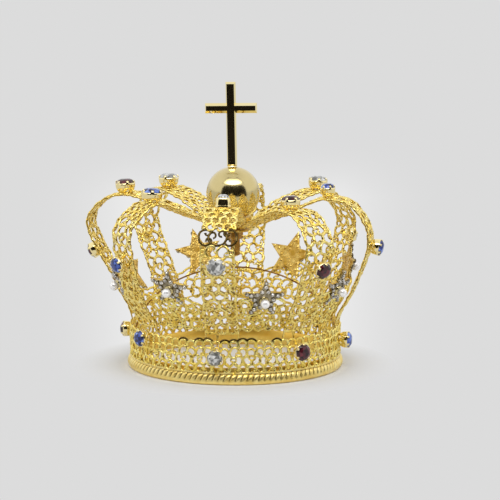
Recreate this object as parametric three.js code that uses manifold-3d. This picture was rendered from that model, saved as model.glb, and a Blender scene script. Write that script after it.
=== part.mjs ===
// Statue crown: a closed crown of gilt brass filigree for a small devotional statue.
// A plain base strip with a rope rim carries an openwork band, a gallery of eight
// lobes and eight arches that swell out, dip in and meet under an orb and cross.
// Eight stars with pearls stand between the arches, and every arch has a cut stone
// on the band, one on its belly and one on its shoulder.
// Millimetres, +Z up, origin on the floor in the middle of the base, front towards -Y.

import * as THREE from "three";
import { mergeVertices } from "three/addons/utils/BufferGeometryUtils.js";
import Module from "manifold-3d";

const wasm = await Module();
wasm.setup();

// Driving dimensions of the whole crown
const baseDiameter = 80;
const totalHeight = 105;
const archCount = 8;
const frontArchTurn = THREE.MathUtils.degToRad(-10);

// How far the arches stand off their even places, and where each star stands between two of them
const archTurnShares = [0.067, 0, -0.022, 0, 0.08, 0.1, -0.056, 0];
const starTurnShares = [0.47, 0.52, 0.5, 0.57, 0.57, 0.5, 0.6, 0.5];

// Clearances and overruns
const solderGap = 0.3;
const stoneClearance = 0.12;
const runningClearance = 0.15;
const cutOverrun = 0.5;

// Rim: plain strip inside, rope wire outside
const ropeHeight = 4;
const ropeDepth = 1.7;
const ropeLobeDepth = 0.35;
const ropeTwistCount = 58;
const stripThickness = 0.8;
const stripHeight = 6.8;
const ringSegments = 40;

// Band of filigree above the rope
const sheetThickness = 0.9;
const bandTopHeight = 16;
const bandScallop = 0.9;
const bandColumnsPerArch = 4;
const bandRows = 2;

// Gallery of lobes behind the feet of the arches
const galleryFootHeight = 12.6;
const galleryEdgeHeight = 25.5;
const galleryLobeHeight = 30;
const galleryColumnsPerArch = 4;
const galleryMiddleShares = [0.42, 0.18];
const gallerySetback = 0.7;

// Outline that the gallery and the arches follow: up to the bulge it stands out from the band
const footOut = 0.25;
const neckInset = 0.45;
const neckHeight = 18.5;
const flareOut = 6.05;
const flareHeight = 31;
const bulgeOut = 13.25;
const bulgeHeight = 49;
const shoulderRadius = 36;
const shoulderHeight = 63;
const saddleRadius = 13;
const saddleRise = 3;
const slopeMiddleShare = 0.5;
const hubRadius = 4.2;
const hubHeight = 51.5;

// Arches, each bent by hand a little off the common outline
const archWidth = 12.6;
const archRows = 11;
const solidHubRows = 2;
const archSideGap = 0.7;
const archWaveShare = 0.93;
const archRowLeadShare = 0.3;
const bulgeRadiusShares = [1, 1, 1, 1, 1, 1, 1.06, 0.952];
const bulgeHeightShares = [1, 1, 0.99, 1, 1, 1, 1.03, 1.06];
const haunchOutShares = [0.5, 0.57, 0.62, 0.5, 0.5, 0.5, 0.7, 0.5];
const haunchUpShares = [0.8, 0.88, 0.83, 0.8, 0.8, 0.8, 0.72, 0.8];
const shoulderRadiusShares = [1, 0.944, 0.972, 1.04, 1, 1.055, 1.14, 1];
const shoulderHeightShares = [1, 0.971, 1, 0.992, 1, 0.992, 1, 1];
const slopeMiddleShares = [0.5, 0.5, 0.55, 0.68, 0.68, 0.68, 0.6, 0.5];

// Collets and stones: radius at the claws, height above the sheet
const bandColletRadius = 2.9;
const bandColletHeight = 3.2;
const bandStoneHeight = 10.8;
const bandStoneHeightShares = [1, 0.95, 0.97, 1, 1, 1, 1.1, 1.22];
const archColletRadius = 3;
const archColletHeight = 3.4;
const archStoneHeight = 44;
const archStoneHeightShares = [1.04, 0.98, 1.04, 1.02, 1.04, 1, 0.968, 0.966];
const topColletRadius = 3.35;
const topColletHeight = 3.9;
const topStoneShare = 1.02;
const colletWall = 0.45;
const colletSink = 0.6;
const stoneCrownHeight = 0.8;
const colletSides = 8;
const colletSeatShare = 0.72;
const colletFloorShare = 0.5;
const stoneTableShare = 0.6;

// Stars and pearls
const starRadius = 8.2;
const starNotchRadius = 3.6;
const starThickness = 0.8;
const starDome = 0.9;
const starHeight = 32.5;
const starHeightShares = [0.97, 0.975, 1, 1.01, 1.01, 1, 1, 1.05];
const starSpinShares = [0, 0, 0, 0.11, -0.11, 0.5, 0, -0.11];
const starPoints = 5;
const bowSteps = 8;
const pearlRadius = 1.8;
const pearlSides = 8;
const pearlRings = 5;

// Orb and cross on their threaded stud
const orbRadius = 9.9;
const orbWall = 0.6;
const orbLift = 0.6;
const crossBarWidth = 3.7;
const crossThickness = 2.4;
const crossBevel = 0.7;
const crossArmSpan = 19.2;
const crossHeadLength = 9.6;
const ferruleRadius = 2.1;
const ferruleHeight = 0.9;
const ferruleTopShare = 0.9;
const studRadius = 1.9;
const studTailLength = 6.1;
const studSocketDepth = 2.2;
const tenonShare = 0.35;
const discRadius = 6;
const discThickness = 1.15;
const washerRadius = 6.2;
const washerThickness = 0.8;
const nutAcrossFlats = 7;
const nutThickness = 2.6;
const orbSteps = 8;
const orbSides = 14;
const roundSides = 16;
const smallRoundSides = 12;
const nutSides = 6;

// Wire hoop across the inside
const hoopWireRadius = 0.3;
const hoopDrop = 4.55;
const hoopFootHeight = 8;
const hoopArchTurn = 2;
const hoopSteps = 18;
const hoopSides = 6;

// Sizes that follow from the ones above
const baseRadius = baseDiameter / 2;
const sectorAngle = (2 * Math.PI) / archCount;
const halfSheet = sheetThickness / 2;
const ropeInnerRadius = baseRadius - ropeDepth;
const stripOuterRadius = ropeInnerRadius - solderGap;
const stripInnerRadius = stripOuterRadius - stripThickness;
const bandFootHeight = ropeHeight + solderGap;
const bandRadius = stripOuterRadius + solderGap + halfSheet;
const galleryInset = sheetThickness + gallerySetback;
const archFootHeight = bandTopHeight + solderGap;
const bulgeRadius = bandRadius + bulgeOut;
const discFootHeight = hubHeight + halfSheet + solderGap;
const orbCentreHeight = discFootHeight + discThickness + orbLift + orbRadius;
const crossArmHeight = totalHeight - crossHeadLength;
const washerTopHeight = hubHeight - halfSheet - solderGap;
const nutTopHeight = washerTopHeight - washerThickness - solderGap;
const studFootHeight = nutTopHeight - nutThickness - studTailLength;
const hoopApexHeight = studFootHeight - hoopDrop;

const gold = new THREE.MeshStandardMaterial({ color: 0xe3b23c, roughness: 0.28, metalness: 1 });
const polishedGold = new THREE.MeshStandardMaterial({ color: 0xe8c25a, roughness: 0.12, metalness: 1 });
const plainBrass = new THREE.MeshStandardMaterial({ color: 0x9a6f2a, roughness: 0.4, metalness: 1 });
const stoneMaterials = {
  clear: new THREE.MeshStandardMaterial({ color: 0xc9cdd4, roughness: 0.05, metalness: 0.1 }),
  garnet: new THREE.MeshStandardMaterial({ color: 0x3a1018, roughness: 0.08, metalness: 0.1 }),
  sapphire: new THREE.MeshStandardMaterial({ color: 0x3a5fc4, roughness: 0.08, metalness: 0.1 }),
};
const pearlMaterial = new THREE.MeshStandardMaterial({ color: 0xf2efe8, roughness: 0.25, metalness: 0 });
const stoneColours = ["clear", "garnet", "sapphire", "clear", "garnet", "clear", "garnet", "sapphire"];

const crown = new THREE.Group();

// Adds a named mesh to the crown, or to a group that stands in it.
function addPiece(name, geometry, material, parent = crown) {
  const mesh = new THREE.Mesh(geometry, material);
  mesh.name = name;
  parent.add(mesh);
  return mesh;
}

// Only positions, with shared vertices merged, so that a mesh is one closed surface.
function closed(geometry) {
  const bare = geometry.clone();
  bare.deleteAttribute("normal");
  bare.deleteAttribute("uv");
  return mergeVertices(bare, 1e-4);
}

function toSolid(geometry) {
  const merged = closed(geometry);
  return new wasm.Manifold(
    new wasm.Mesh({
      numProp: 3,
      vertProperties: new Float32Array(merged.attributes.position.array),
      triVerts: new Uint32Array(merged.index.array),
    }),
  );
}

function fromSolid(solid) {
  const mesh = solid.getMesh();
  const geometry = new THREE.BufferGeometry();
  geometry.setAttribute("position", new THREE.BufferAttribute(mesh.vertProperties, 3));
  geometry.setIndex(new THREE.BufferAttribute(mesh.triVerts, 1));
  return geometry;
}

// Corners of a regular polygon.
function polygon(radius, sides) {
  return Array.from({ length: sides }, (_, n) => {
    const turn = (2 * Math.PI * n) / sides;
    return new THREE.Vector2(radius * Math.cos(turn), radius * Math.sin(turn));
  });
}

// A ring or a turned piece about +Z, from a profile of [radius, height] points.
// The profile runs upwards on the outside, so that its faces point out.
function turned(profile, segments) {
  const points = profile.map(([radius, height]) => new THREE.Vector2(radius, height));
  const lathe = new THREE.LatheGeometry(points, segments);
  lathe.rotateX(Math.PI / 2);
  return closed(lathe);
}

// The outline of one arch, from the band out over its bulge and down to the hub.
function makeOutline(index) {
  const bulge = [bulgeRadius * bulgeRadiusShares[index], bulgeHeight * bulgeHeightShares[index]];
  const shoulder = [shoulderRadius * shoulderRadiusShares[index], shoulderHeight * shoulderHeightShares[index]];
  const saddle = [saddleRadius, hubHeight + saddleRise];
  const between = (from, to, out, up) => [from[0] + (to[0] - from[0]) * out, from[1] + (to[1] - from[1]) * up];
  const curve = new THREE.SplineCurve(
    [
      [bandRadius + footOut, galleryFootHeight],
      [bandRadius - neckInset, neckHeight],
      [bandRadius + flareOut, flareHeight],
      bulge,
      between(bulge, shoulder, 1 - haunchOutShares[index], haunchUpShares[index]),
      shoulder,
      between(shoulder, saddle, slopeMiddleShare, 1 - slopeMiddleShares[index]),
      saddle,
      [hubRadius, hubHeight],
    ].map(([radius, height]) => new THREE.Vector2(radius, height)),
  );
  curve.arcLengthDivisions = 400;
  return curve;
}

// The gallery and the stars follow the outline of the front arch.
const outline = makeOutline(0);

// How far along an outline a height is first reached, or a radius is last passed.
function shareWhere(curve, test) {
  const steps = 2000;
  for (let i = 0; i <= steps; i++) {
    if (test(curve.getPointAt(i / steps))) return i / steps;
  }
  return 1;
}
const shareAtHeight = (height, curve = outline) => shareWhere(curve, (point) => point.y >= height);
const shoulderShare = (radius, curve) =>
  shareWhere(curve, (point) => point.y > bulgeHeight && point.x <= radius);

// Point and outward normal of an outline, in the plane of an arch that faces -Y.
function frameAt(share, curve = outline) {
  const point = curve.getPointAt(share);
  const tangent = curve.getTangentAt(share);
  return {
    radius: point.x,
    origin: new THREE.Vector3(0, -point.x, point.y),
    normal: new THREE.Vector3(0, -tangent.y, -tangent.x),
    along: new THREE.Vector3(0, -tangent.x, tangent.y),
  };
}

// Point at a turn about the axis on the surface that the outline sweeps, moved outwards by out.
function onSweep(turn, share, out) {
  const { origin, normal } = frameAt(share);
  const point = origin.addScaledVector(normal, out);
  return point.applyAxisAngle(new THREE.Vector3(0, 0, 1), turn);
}

// One opening of the filigree, in a unit cell: a leaf that leans to one side.
const leafShares = [
  [0.62, 0.86],
  [0.16, 0.56],
  [0.36, 0.14],
  [0.84, 0.4],
];
const cellShares = [
  [0, 0],
  [1, 0],
  [1, 1],
  [0, 1],
];

// A sheet of openwork. corner(i, j) gives a grid corner in sheet coordinates and
// place(corner, out) puts it in space. Cells that isOpen refuses stay solid.
function openwork({ columns, rows, corner, place, isOpen = () => true, ring = false, mirrored = () => false }) {
  const positions = [];
  const push = (...points) => points.forEach((p) => positions.push(p.x, p.y, p.z));
  const toVector = ([x, y]) => new THREE.Vector2(x, y);
  const faces = (hole) =>
    THREE.ShapeUtils.triangulateShape(cellShares.map(toVector), hole ? [hole.map(toVector)] : []);

  for (let i = 0; i < columns; i++) {
    for (let j = 0; j < rows; j++) {
      const open = isOpen(i, j);
      const shares = mirrored(i, j) ? leafShares.map(([x, y]) => [1 - x, y]).reverse() : leafShares;
      const hole = open ? shares : null;
      const corners = [corner(i, j), corner(i + 1, j), corner(i + 1, j + 1), corner(i, j + 1)];
      const at = ([s, t]) =>
        corners[0].map((_, axis) => {
          const low = corners[0][axis] * (1 - s) + corners[1][axis] * s;
          const high = corners[3][axis] * (1 - s) + corners[2][axis] * s;
          return low * (1 - t) + high * t;
        });
      const flat = [...cellShares, ...(hole ?? [])].map(at);
      const outer = flat.map((point) => place(point, halfSheet));
      const inner = flat.map((point) => place(point, -halfSheet));
      for (const [a, b, c] of faces(hole)) {
        push(outer[a], outer[b], outer[c]);
        push(inner[a], inner[c], inner[b]);
      }
      const wall = (a, b) => {
        push(outer[a], inner[a], inner[b]);
        push(outer[a], inner[b], outer[b]);
      };
      if (hole) {
        for (let n = 0; n < hole.length; n++) {
          wall(4 + ((n + 1) % hole.length), 4 + n);
        }
      }
      if (j === 0) wall(0, 1);
      if (j === rows - 1) wall(2, 3);
      if (!ring && i === 0) wall(3, 0);
      if (!ring && i === columns - 1) wall(1, 2);
    }
  }
  const geometry = new THREE.BufferGeometry();
  geometry.setAttribute("position", new THREE.Float32BufferAttribute(positions, 3));
  return closed(geometry);
}

// A collet: a cup that widens to its claws, open at the top for the stone.
function collet(radius, height) {
  const seatRadius = radius * colletSeatShare;
  const floor = height * colletFloorShare;
  return turned(
    [
      [0, -colletSink],
      [seatRadius, -colletSink],
      [radius, height],
      [radius - colletWall, height],
      [seatRadius - colletWall, floor],
      [0, floor],
    ],
    colletSides,
  );
}

// A brilliant-cut stone that drops into a collet of the same size.
function stone(radius, height) {
  const girdle = radius - colletWall - stoneClearance;
  const floor = height * colletFloorShare + stoneClearance;
  return turned(
    [
      [0, floor],
      [girdle, height - stoneClearance],
      [girdle * stoneTableShare, height + stoneCrownHeight],
      [0, height + stoneCrownHeight],
    ],
    colletSides,
  );
}

// Turns and moves a piece made about +Z so that it stands on the outline, facing out.
function standing(geometry, share, out, curve = outline) {
  const { origin, normal, along } = frameAt(share, curve);
  const across = new THREE.Vector3().crossVectors(along, normal);
  const matrix = new THREE.Matrix4().makeBasis(across, along, normal);
  matrix.setPosition(origin.addScaledVector(normal, out));
  return geometry.clone().applyMatrix4(matrix);
}

// The even place of an arch, where its stone sits on the band, and the place where it was soldered.
const evenTurn = (index) => frontArchTurn + index * sectorAngle;
const archTurn = (index) => {
  const lap = Math.floor(index / archCount);
  return evenTurn(index) + archTurnShares[index - lap * archCount] * sectorAngle;
};

// A group turned to one arch or to the gap that follows it.
function turnedGroup(turn) {
  const group = new THREE.Group();
  group.rotation.z = turn;
  crown.add(group);
  return group;
}

// Rim
function makeRim() {
  addPiece(
    "base_strip",
    turned(
      [
        [stripInnerRadius, 0],
        [stripOuterRadius, 0],
        [stripOuterRadius, stripHeight],
        [stripInnerRadius, stripHeight],
        [stripInnerRadius, 0],
      ],
      ringSegments,
    ),
    gold,
  );
  // The rope's slanted lobes: its outer points swing in and out, each a little later than the one below.
  const steps = ropeTwistCount * 2;
  const heightShares = [0, 0.4, 1];
  const swellShares = [0.55, 1, 0.6];
  const middleLevel = 1;
  const positions = [];
  const pointAt = (step, level) => {
    const turn = (2 * Math.PI * (step + level * 0.5)) / steps;
    const lobe = step % 2 === 0 ? 0 : ropeLobeDepth;
    const radius = ropeInnerRadius + ropeDepth * swellShares[level] - (level === middleLevel ? lobe : 0);
    const height = ropeHeight * heightShares[level];
    return new THREE.Vector3(radius * Math.cos(turn), radius * Math.sin(turn), height);
  };
  const innerAt = (step, height) => {
    const turn = (2 * Math.PI * (step + (height ? 1 : 0))) / steps;
    return new THREE.Vector3(ropeInnerRadius * Math.cos(turn), ropeInnerRadius * Math.sin(turn), height);
  };
  for (let step = 0; step < steps; step++) {
    const outerAt = (s) => heightShares.map((_, level) => pointAt(s, level));
    const section = (s) => [innerAt(s, 0), ...outerAt(s), innerAt(s, ropeHeight)];
    const here = section(step);
    const next = section((step + 1) % steps);
    for (let n = 0; n < here.length; n++) {
      const m = (n + 1) % here.length;
      [here[n], next[n], next[m], here[n], next[m], here[m]].forEach((p) => positions.push(p.x, p.y, p.z));
    }
  }
  const rope = new THREE.BufferGeometry();
  rope.setAttribute("position", new THREE.Float32BufferAttribute(positions, 3));
  addPiece("rope_rim", closed(rope), gold);
}

// Band with its eight collets soldered on
function makeBand() {
  const columns = archCount * bandColumnsPerArch;
  const rowHeight = (bandTopHeight - bandScallop - bandFootHeight) / bandRows;
  const sheet = openwork({
    columns,
    rows: bandRows,
    ring: true,
    corner: (i, j) => {
      const lift = j > 0 && i % 2 === 0 ? bandScallop : 0;
      return [(2 * Math.PI * i) / columns, bandFootHeight + j * rowHeight + lift];
    },
    place: ([turn, height], out) => {
      const radius = bandRadius + out;
      const at = frontArchTurn + turn;
      return new THREE.Vector3(radius * Math.sin(at), -radius * Math.cos(at), height);
    },
  });
  let solid = toSolid(sheet);
  for (let index = 0; index < archCount; index++) {
    solid = solid.add(toSolid(onBand(collet(bandColletRadius, bandColletHeight), index)));
  }
  addPiece("band_filigree", fromSolid(solid), gold);
}

// Turns a piece made about +Z to face out of the band at one arch.
function onBand(geometry, index) {
  return geometry
    .clone()
    .rotateX(Math.PI / 2)
    .translate(0, -bandRadius - halfSheet, bandStoneHeight * bandStoneHeightShares[index])
    .rotateZ(evenTurn(index));
}

// Gallery ring with a lobe between every two arches
function makeGallery() {
  const columns = archCount * galleryColumnsPerArch;
  const footShare = shareAtHeight(galleryFootHeight);
  const edgeShare = shareAtHeight(galleryEdgeHeight);
  const lobeShare = shareAtHeight(galleryLobeHeight);
  const riseShares = [0, 0.62, 1, 0.62];
  const sheet = openwork({
    columns,
    rows: 2,
    ring: true,
    corner: (i, j) => {
      const rise = riseShares[i % galleryColumnsPerArch];
      const top = edgeShare + (lobeShare - edgeShare) * rise;
      const middleShare = galleryMiddleShares[0] + galleryMiddleShares[1] * rise;
      const middle = footShare + (edgeShare - footShare) * middleShare;
      return [(2 * Math.PI * i) / columns, [footShare, middle, top][j]];
    },
    place: ([turn, share], out) => onSweep(frontArchTurn + turn, share, out - galleryInset),
  });
  addPiece("gallery", sheet, gold);
}

// An arch narrows where its neighbours crowd in at the hub.
function makeArch(index) {
  const curve = makeOutline(index);
  const footShare = shareAtHeight(archFootHeight, curve);
  const rowLength = (1 - footShare) / archRows;
  const gaps = [archTurn(index) - archTurn(index - 1), archTurn(index + 1) - archTurn(index)];
  const halfWidthAt = (share) => {
    const room = curve.getPointAt(share).x * Math.tan(Math.min(...gaps) / 2) - archSideGap / 2;
    return Math.min(archWidth / 2, room);
  };
  const sheet = openwork({
    columns: 2,
    rows: archRows,
    corner: (i, j) => {
      const inner = j > 0 && j < archRows;
      const lead = i === 1 && inner ? archRowLeadShare : 0;
      const wave = inner && j % 2 === 1 ? archWaveShare : 1;
      const share = Math.min(footShare + rowLength * (j + lead), 1);
      return [(i - 1) * halfWidthAt(share) * wave, share];
    },
    place: ([across, share], out) => {
      const { origin, normal } = frameAt(Math.min(share, 1), curve);
      return origin.addScaledVector(normal, out).setX(across);
    },
    isOpen: (i, j) => j < archRows - solidHubRows,
    mirrored: (i) => i === 1,
  });
  const belly = shareAtHeight(archStoneHeight * archStoneHeightShares[index], curve);
  const shoulder = shoulderShare(shoulderRadius * shoulderRadiusShares[index] * topStoneShare, curve);
  const onBelly = (geometry) => standing(geometry, belly, halfSheet, curve);
  const onShoulder = (geometry) => standing(geometry, shoulder, halfSheet, curve);
  const strip = toSolid(sheet)
    .add(toSolid(onBelly(collet(archColletRadius, archColletHeight))))
    .add(toSolid(onShoulder(collet(topColletRadius, topColletHeight))));
  const group = turnedGroup(archTurn(index));
  const colour = stoneMaterials[stoneColours[index % stoneColours.length]];
  addPiece(`arch_${index + 1}`, fromSolid(strip), gold, group);
  addPiece(`arch_stone_${index + 1}`, onBelly(stone(archColletRadius, archColletHeight)), colour, group);
  addPiece(`top_stone_${index + 1}`, onShoulder(stone(topColletRadius, topColletHeight)), colour, group);
  addPiece(`band_stone_${index + 1}`, onBand(stone(bandColletRadius, bandColletHeight), index), colour);
}

// A star with a low ridge along every arm, and a pearl on its middle.
function makeStars() {
  const positions = [];
  const corners = Array.from({ length: starPoints * 2 }, (_, n) => {
    const radius = n % 2 === 0 ? starRadius : starNotchRadius;
    const turn = Math.PI / 2 + (Math.PI * n) / starPoints;
    return [radius * Math.cos(turn), radius * Math.sin(turn)];
  });
  const push = (...points) => points.forEach((p) => positions.push(...p));
  corners.forEach(([x, y], n) => {
    const [nextX, nextY] = corners[(n + 1) % corners.length];
    push([0, 0, 0], [nextX, nextY, 0], [x, y, 0]);
    push([x, y, 0], [nextX, nextY, 0], [nextX, nextY, starThickness]);
    push([x, y, 0], [nextX, nextY, starThickness], [x, y, starThickness]);
    push([x, y, starThickness], [nextX, nextY, starThickness], [0, 0, starThickness + starDome]);
  });
  const geometry = new THREE.BufferGeometry();
  geometry.setAttribute("position", new THREE.Float32BufferAttribute(positions, 3));
  // The gallery bows out behind a star's lower arms, and the star stands clear of it.
  const reach = starRadius / outline.getLength();
  const backOutAt = (share) => {
    const { origin, normal } = frameAt(share);
    const bows = Array.from({ length: bowSteps }, (_, n) => {
      const below = frameAt(Math.max(share - (reach * (n + 1)) / bowSteps, 0));
      return below.origin.sub(origin).dot(normal);
    });
    return halfSheet - galleryInset + solderGap + Math.max(...bows, 0);
  };
  const pearlLift = starThickness + starDome + solderGap / 2;
  const star = closed(geometry);
  const pearlBall = new THREE.SphereGeometry(pearlRadius, pearlSides, pearlRings).rotateX(Math.PI / 2);
  const pearl = closed(pearlBall.translate(0, 0, pearlRadius));
  const pointAngle = (2 * Math.PI) / starPoints;
  for (let index = 0; index < archCount; index++) {
    const share = shareAtHeight(starHeight * starHeightShares[index]);
    const gap = archTurn(index + 1) - archTurn(index);
    const group = turnedGroup(archTurn(index) + gap * starTurnShares[index]);
    const spun = star.clone().rotateZ(pointAngle * starSpinShares[index]);
    const backOut = backOutAt(share);
    addPiece(`star_${index + 1}`, standing(spun, share, backOut), gold, group);
    addPiece(`pearl_${index + 1}`, standing(pearl, share, backOut + pearlLift), pearlMaterial, group);
  }
}

// Orb, cross and the hardware that holds them on the hub
function makeFinial() {
  const boreRadius = studRadius + runningClearance;
  const ring = (outer, inner, bottom, top, sides) =>
    turned(
      [
        [inner, bottom],
        [outer, bottom],
        [outer, top],
        [inner, top],
        [inner, bottom],
      ],
      sides,
    );
  const discRim = orbCentreHeight - Math.sqrt(orbRadius ** 2 - discRadius ** 2) - orbLift;
  addPiece(
    "hub_disc",
    turned(
      [
        [boreRadius, discFootHeight],
        [hubRadius, discFootHeight],
        [discRadius, discRim - discThickness],
        [discRadius, discRim],
        [boreRadius, discFootHeight + discThickness],
        [boreRadius, discFootHeight],
      ],
      roundSides,
    ),
    gold,
  );
  const washer = ring(washerRadius, boreRadius, washerTopHeight - washerThickness, washerTopHeight, roundSides);
  addPiece("washer", washer, plainBrass);
  const hexagon = new THREE.Shape(polygon(nutAcrossFlats / Math.sqrt(3), nutSides));
  hexagon.holes.push(new THREE.Path(polygon(boreRadius, smallRoundSides)));
  const nut = new THREE.ExtrudeGeometry(hexagon, { depth: nutThickness, bevelEnabled: false });
  addPiece("nut", closed(nut.translate(0, 0, nutTopHeight - nutThickness)), plainBrass);

  // Hollow orb with a hole at each pole for the stud
  const arc = (radius, steps) => {
    const holeAngle = Math.asin(boreRadius / radius);
    return Array.from({ length: steps + 1 }, (_, n) => {
      const angle = holeAngle + ((Math.PI - 2 * holeAngle) * n) / steps;
      return [radius * Math.sin(angle), orbCentreHeight - radius * Math.cos(angle)];
    });
  };
  const outside = arc(orbRadius, orbSteps);
  const inside = arc(orbRadius - orbWall, orbSteps).reverse();
  addPiece("orb", turned([...outside, ...inside, outside[0]], orbSides), polishedGold);

  // Cross: bevelled bars on a small ferrule, with a socket for the stud
  const ferruleFoot = orbCentreHeight + Math.sqrt(orbRadius ** 2 - ferruleRadius ** 2) + solderGap;
  const half = crossBarWidth / 2 - crossBevel;
  const armHalf = crossArmSpan / 2 - crossBevel;
  const barFoot = ferruleFoot + ferruleHeight / 2;
  const corners = [
    [-half, barFoot],
    [half, barFoot],
    [half, crossArmHeight - half],
    [armHalf, crossArmHeight - half],
    [armHalf, crossArmHeight + half],
    [half, crossArmHeight + half],
    [half, totalHeight - crossBevel],
    [-half, totalHeight - crossBevel],
    [-half, crossArmHeight + half],
    [-armHalf, crossArmHeight + half],
    [-armHalf, crossArmHeight - half],
    [-half, crossArmHeight - half],
  ];
  const shape = new THREE.Shape(corners.map(([x, z]) => new THREE.Vector2(x, z)));
  const bars = new THREE.ExtrudeGeometry(shape, {
    depth: crossThickness - 2 * crossBevel,
    bevelThickness: crossBevel,
    bevelSize: crossBevel,
    bevelSegments: 1,
    curveSegments: 1,
  });
  bars.translate(0, 0, crossBevel - crossThickness / 2);
  bars.rotateX(Math.PI / 2);
  const ferrule = turned(
    [
      [0, ferruleFoot],
      [ferruleRadius, ferruleFoot],
      [ferruleRadius * ferruleTopShare, ferruleFoot + ferruleHeight],
      [0, ferruleFoot + ferruleHeight],
    ],
    smallRoundSides,
  );
  const socketTop = ferruleFoot + studSocketDepth;
  const tenonRadius = studRadius * tenonShare;
  const socketRadius = tenonRadius + solderGap;
  const socket = turned(
    [
      [0, ferruleFoot - cutOverrun],
      [socketRadius, ferruleFoot - cutOverrun],
      [socketRadius, socketTop],
      [0, socketTop],
    ],
    smallRoundSides,
  );
  addPiece("cross", fromSolid(toSolid(bars).add(toSolid(ferrule)).subtract(toSolid(socket))), polishedGold);

  // Threaded stud: full size through the orb, turned down where it enters the cross
  const tenonTop = socketTop - solderGap;
  addPiece(
    "stud",
    turned(
      [
        [0, studFootHeight],
        [studRadius, studFootHeight],
        [studRadius, ferruleFoot - solderGap],
        [tenonRadius, ferruleFoot - solderGap],
        [tenonRadius, tenonTop],
        [0, tenonTop],
      ],
      smallRoundSides,
    ),
    plainBrass,
  );
}

// Wire hoop that spans the inside of the band, from under one arch to under the opposite one
function makeHoop() {
  const halfSpan = bandRadius - halfSheet - solderGap - hoopWireRadius;
  const rise = hoopApexHeight - hoopFootHeight;
  const bendRadius = (rise ** 2 + halfSpan ** 2) / (2 * rise);
  const footTurn = Math.asin(halfSpan / bendRadius);
  const points = [];
  for (let n = 0; n <= hoopSteps; n++) {
    const turn = footTurn * ((2 * n) / hoopSteps - 1);
    const height = hoopApexHeight - bendRadius * (1 - Math.cos(turn));
    points.push(new THREE.Vector3(0, bendRadius * Math.sin(turn), height));
  }
  const wire = new THREE.ExtrudeGeometry(new THREE.Shape(polygon(hoopWireRadius, hoopSides)), {
    steps: hoopSteps,
    extrudePath: new THREE.CatmullRomCurve3(points),
  });
  addPiece("inner_hoop", closed(wire), plainBrass, turnedGroup(archTurn(hoopArchTurn)));
}

makeRim();
makeBand();
makeGallery();
for (let index = 0; index < archCount; index++) {
  makeArch(index);
}
makeStars();
makeFinial();
makeHoop();

export default crown;
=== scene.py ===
import bpy
import bmesh
import random
from bisect import bisect_left
from math import asin, atan2, copysign, cos, hypot, pi, radians, sin, sqrt, tan, tau
from mathutils import Matrix, Vector, noise


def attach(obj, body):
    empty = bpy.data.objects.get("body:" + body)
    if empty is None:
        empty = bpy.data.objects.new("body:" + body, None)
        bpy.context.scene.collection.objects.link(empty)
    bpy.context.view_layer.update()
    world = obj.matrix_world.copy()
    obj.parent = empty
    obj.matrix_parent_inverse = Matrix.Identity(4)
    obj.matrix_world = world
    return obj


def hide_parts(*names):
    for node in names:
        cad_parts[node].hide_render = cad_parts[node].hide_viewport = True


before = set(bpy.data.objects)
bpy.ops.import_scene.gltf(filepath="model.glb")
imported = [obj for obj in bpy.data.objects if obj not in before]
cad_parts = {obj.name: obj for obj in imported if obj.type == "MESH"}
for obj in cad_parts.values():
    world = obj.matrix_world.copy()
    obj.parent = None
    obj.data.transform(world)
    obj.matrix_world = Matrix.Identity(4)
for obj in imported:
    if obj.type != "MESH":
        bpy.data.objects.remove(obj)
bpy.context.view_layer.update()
mm = 0.001  # the crown is written in millimetres and made in metres
print("frame loaded:", len(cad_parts), "nodes")

# The sizes that the part was built with, which every piece below follows
crown = {
    "archCount": 8,
    "frontArchTurn": radians(-10),
    "archTurnShares": [0.067, 0, -0.022, 0, 0.08, 0.1, -0.056, 0],
    "sheet": 0.9,
    "bandRadius": 38.75,
    "bandFoot": 4.3,
    "galleryInset": 1.6,
    "solderGap": 0.3,
    "archFoot": 16.3,
    "archWidth": 12.6,
    "archSideGap": 0.7,
    "footCorners": ((39, 12.6), (38.3, 18.5), (44.8, 31)),
    "bulge": (52, 49),
    "bulgeRadiusShares": [1, 1, 0.968, 1, 1, 1.05, 1.06, 0.952],
    "bulgeHeightShares": [1, 1, 0.99, 1, 1, 1, 1.03, 1.06],
    "haunchOutShares": [0.5, 0.57, 0.62, 0.5, 0.5, 0.5, 0.7, 0.5],
    "haunchUpShares": [0.8, 0.88, 0.83, 0.8, 0.8, 0.8, 0.72, 0.8],
    "shoulder": (36, 63),
    "shoulderRadiusShares": [1, 0.944, 0.945, 1.04, 1, 1.09, 1.14, 1],
    "shoulderHeightShares": [1, 0.971, 1, 0.992, 1, 0.992, 1, 1],
    "slopeMiddleShares": [0.5, 0.5, 0.55, 0.68, 0.68, 0.68, 0.6, 0.5],
    "saddle": (13, 54.5),
    "hubEnd": (4.2, 51.5),
}
stoneColours = ["clear", "garnet", "sapphire", "clear", "garnet", "clear", "garnet", "sapphire"]
everyArch = range(crown["archCount"])
sector = tau / crown["archCount"]


# The outline of an arch above the band, as an even walk along a smooth curve
def catmullRom(t, a, b, c, d):
    out, back = (c - a) / 2, (d - b) / 2
    cubic, square = 2 * b - 2 * c + out + back, 3 * c - 3 * b - 2 * out - back
    return cubic * t ** 3 + square * t ** 2 + out * t + b


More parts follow.
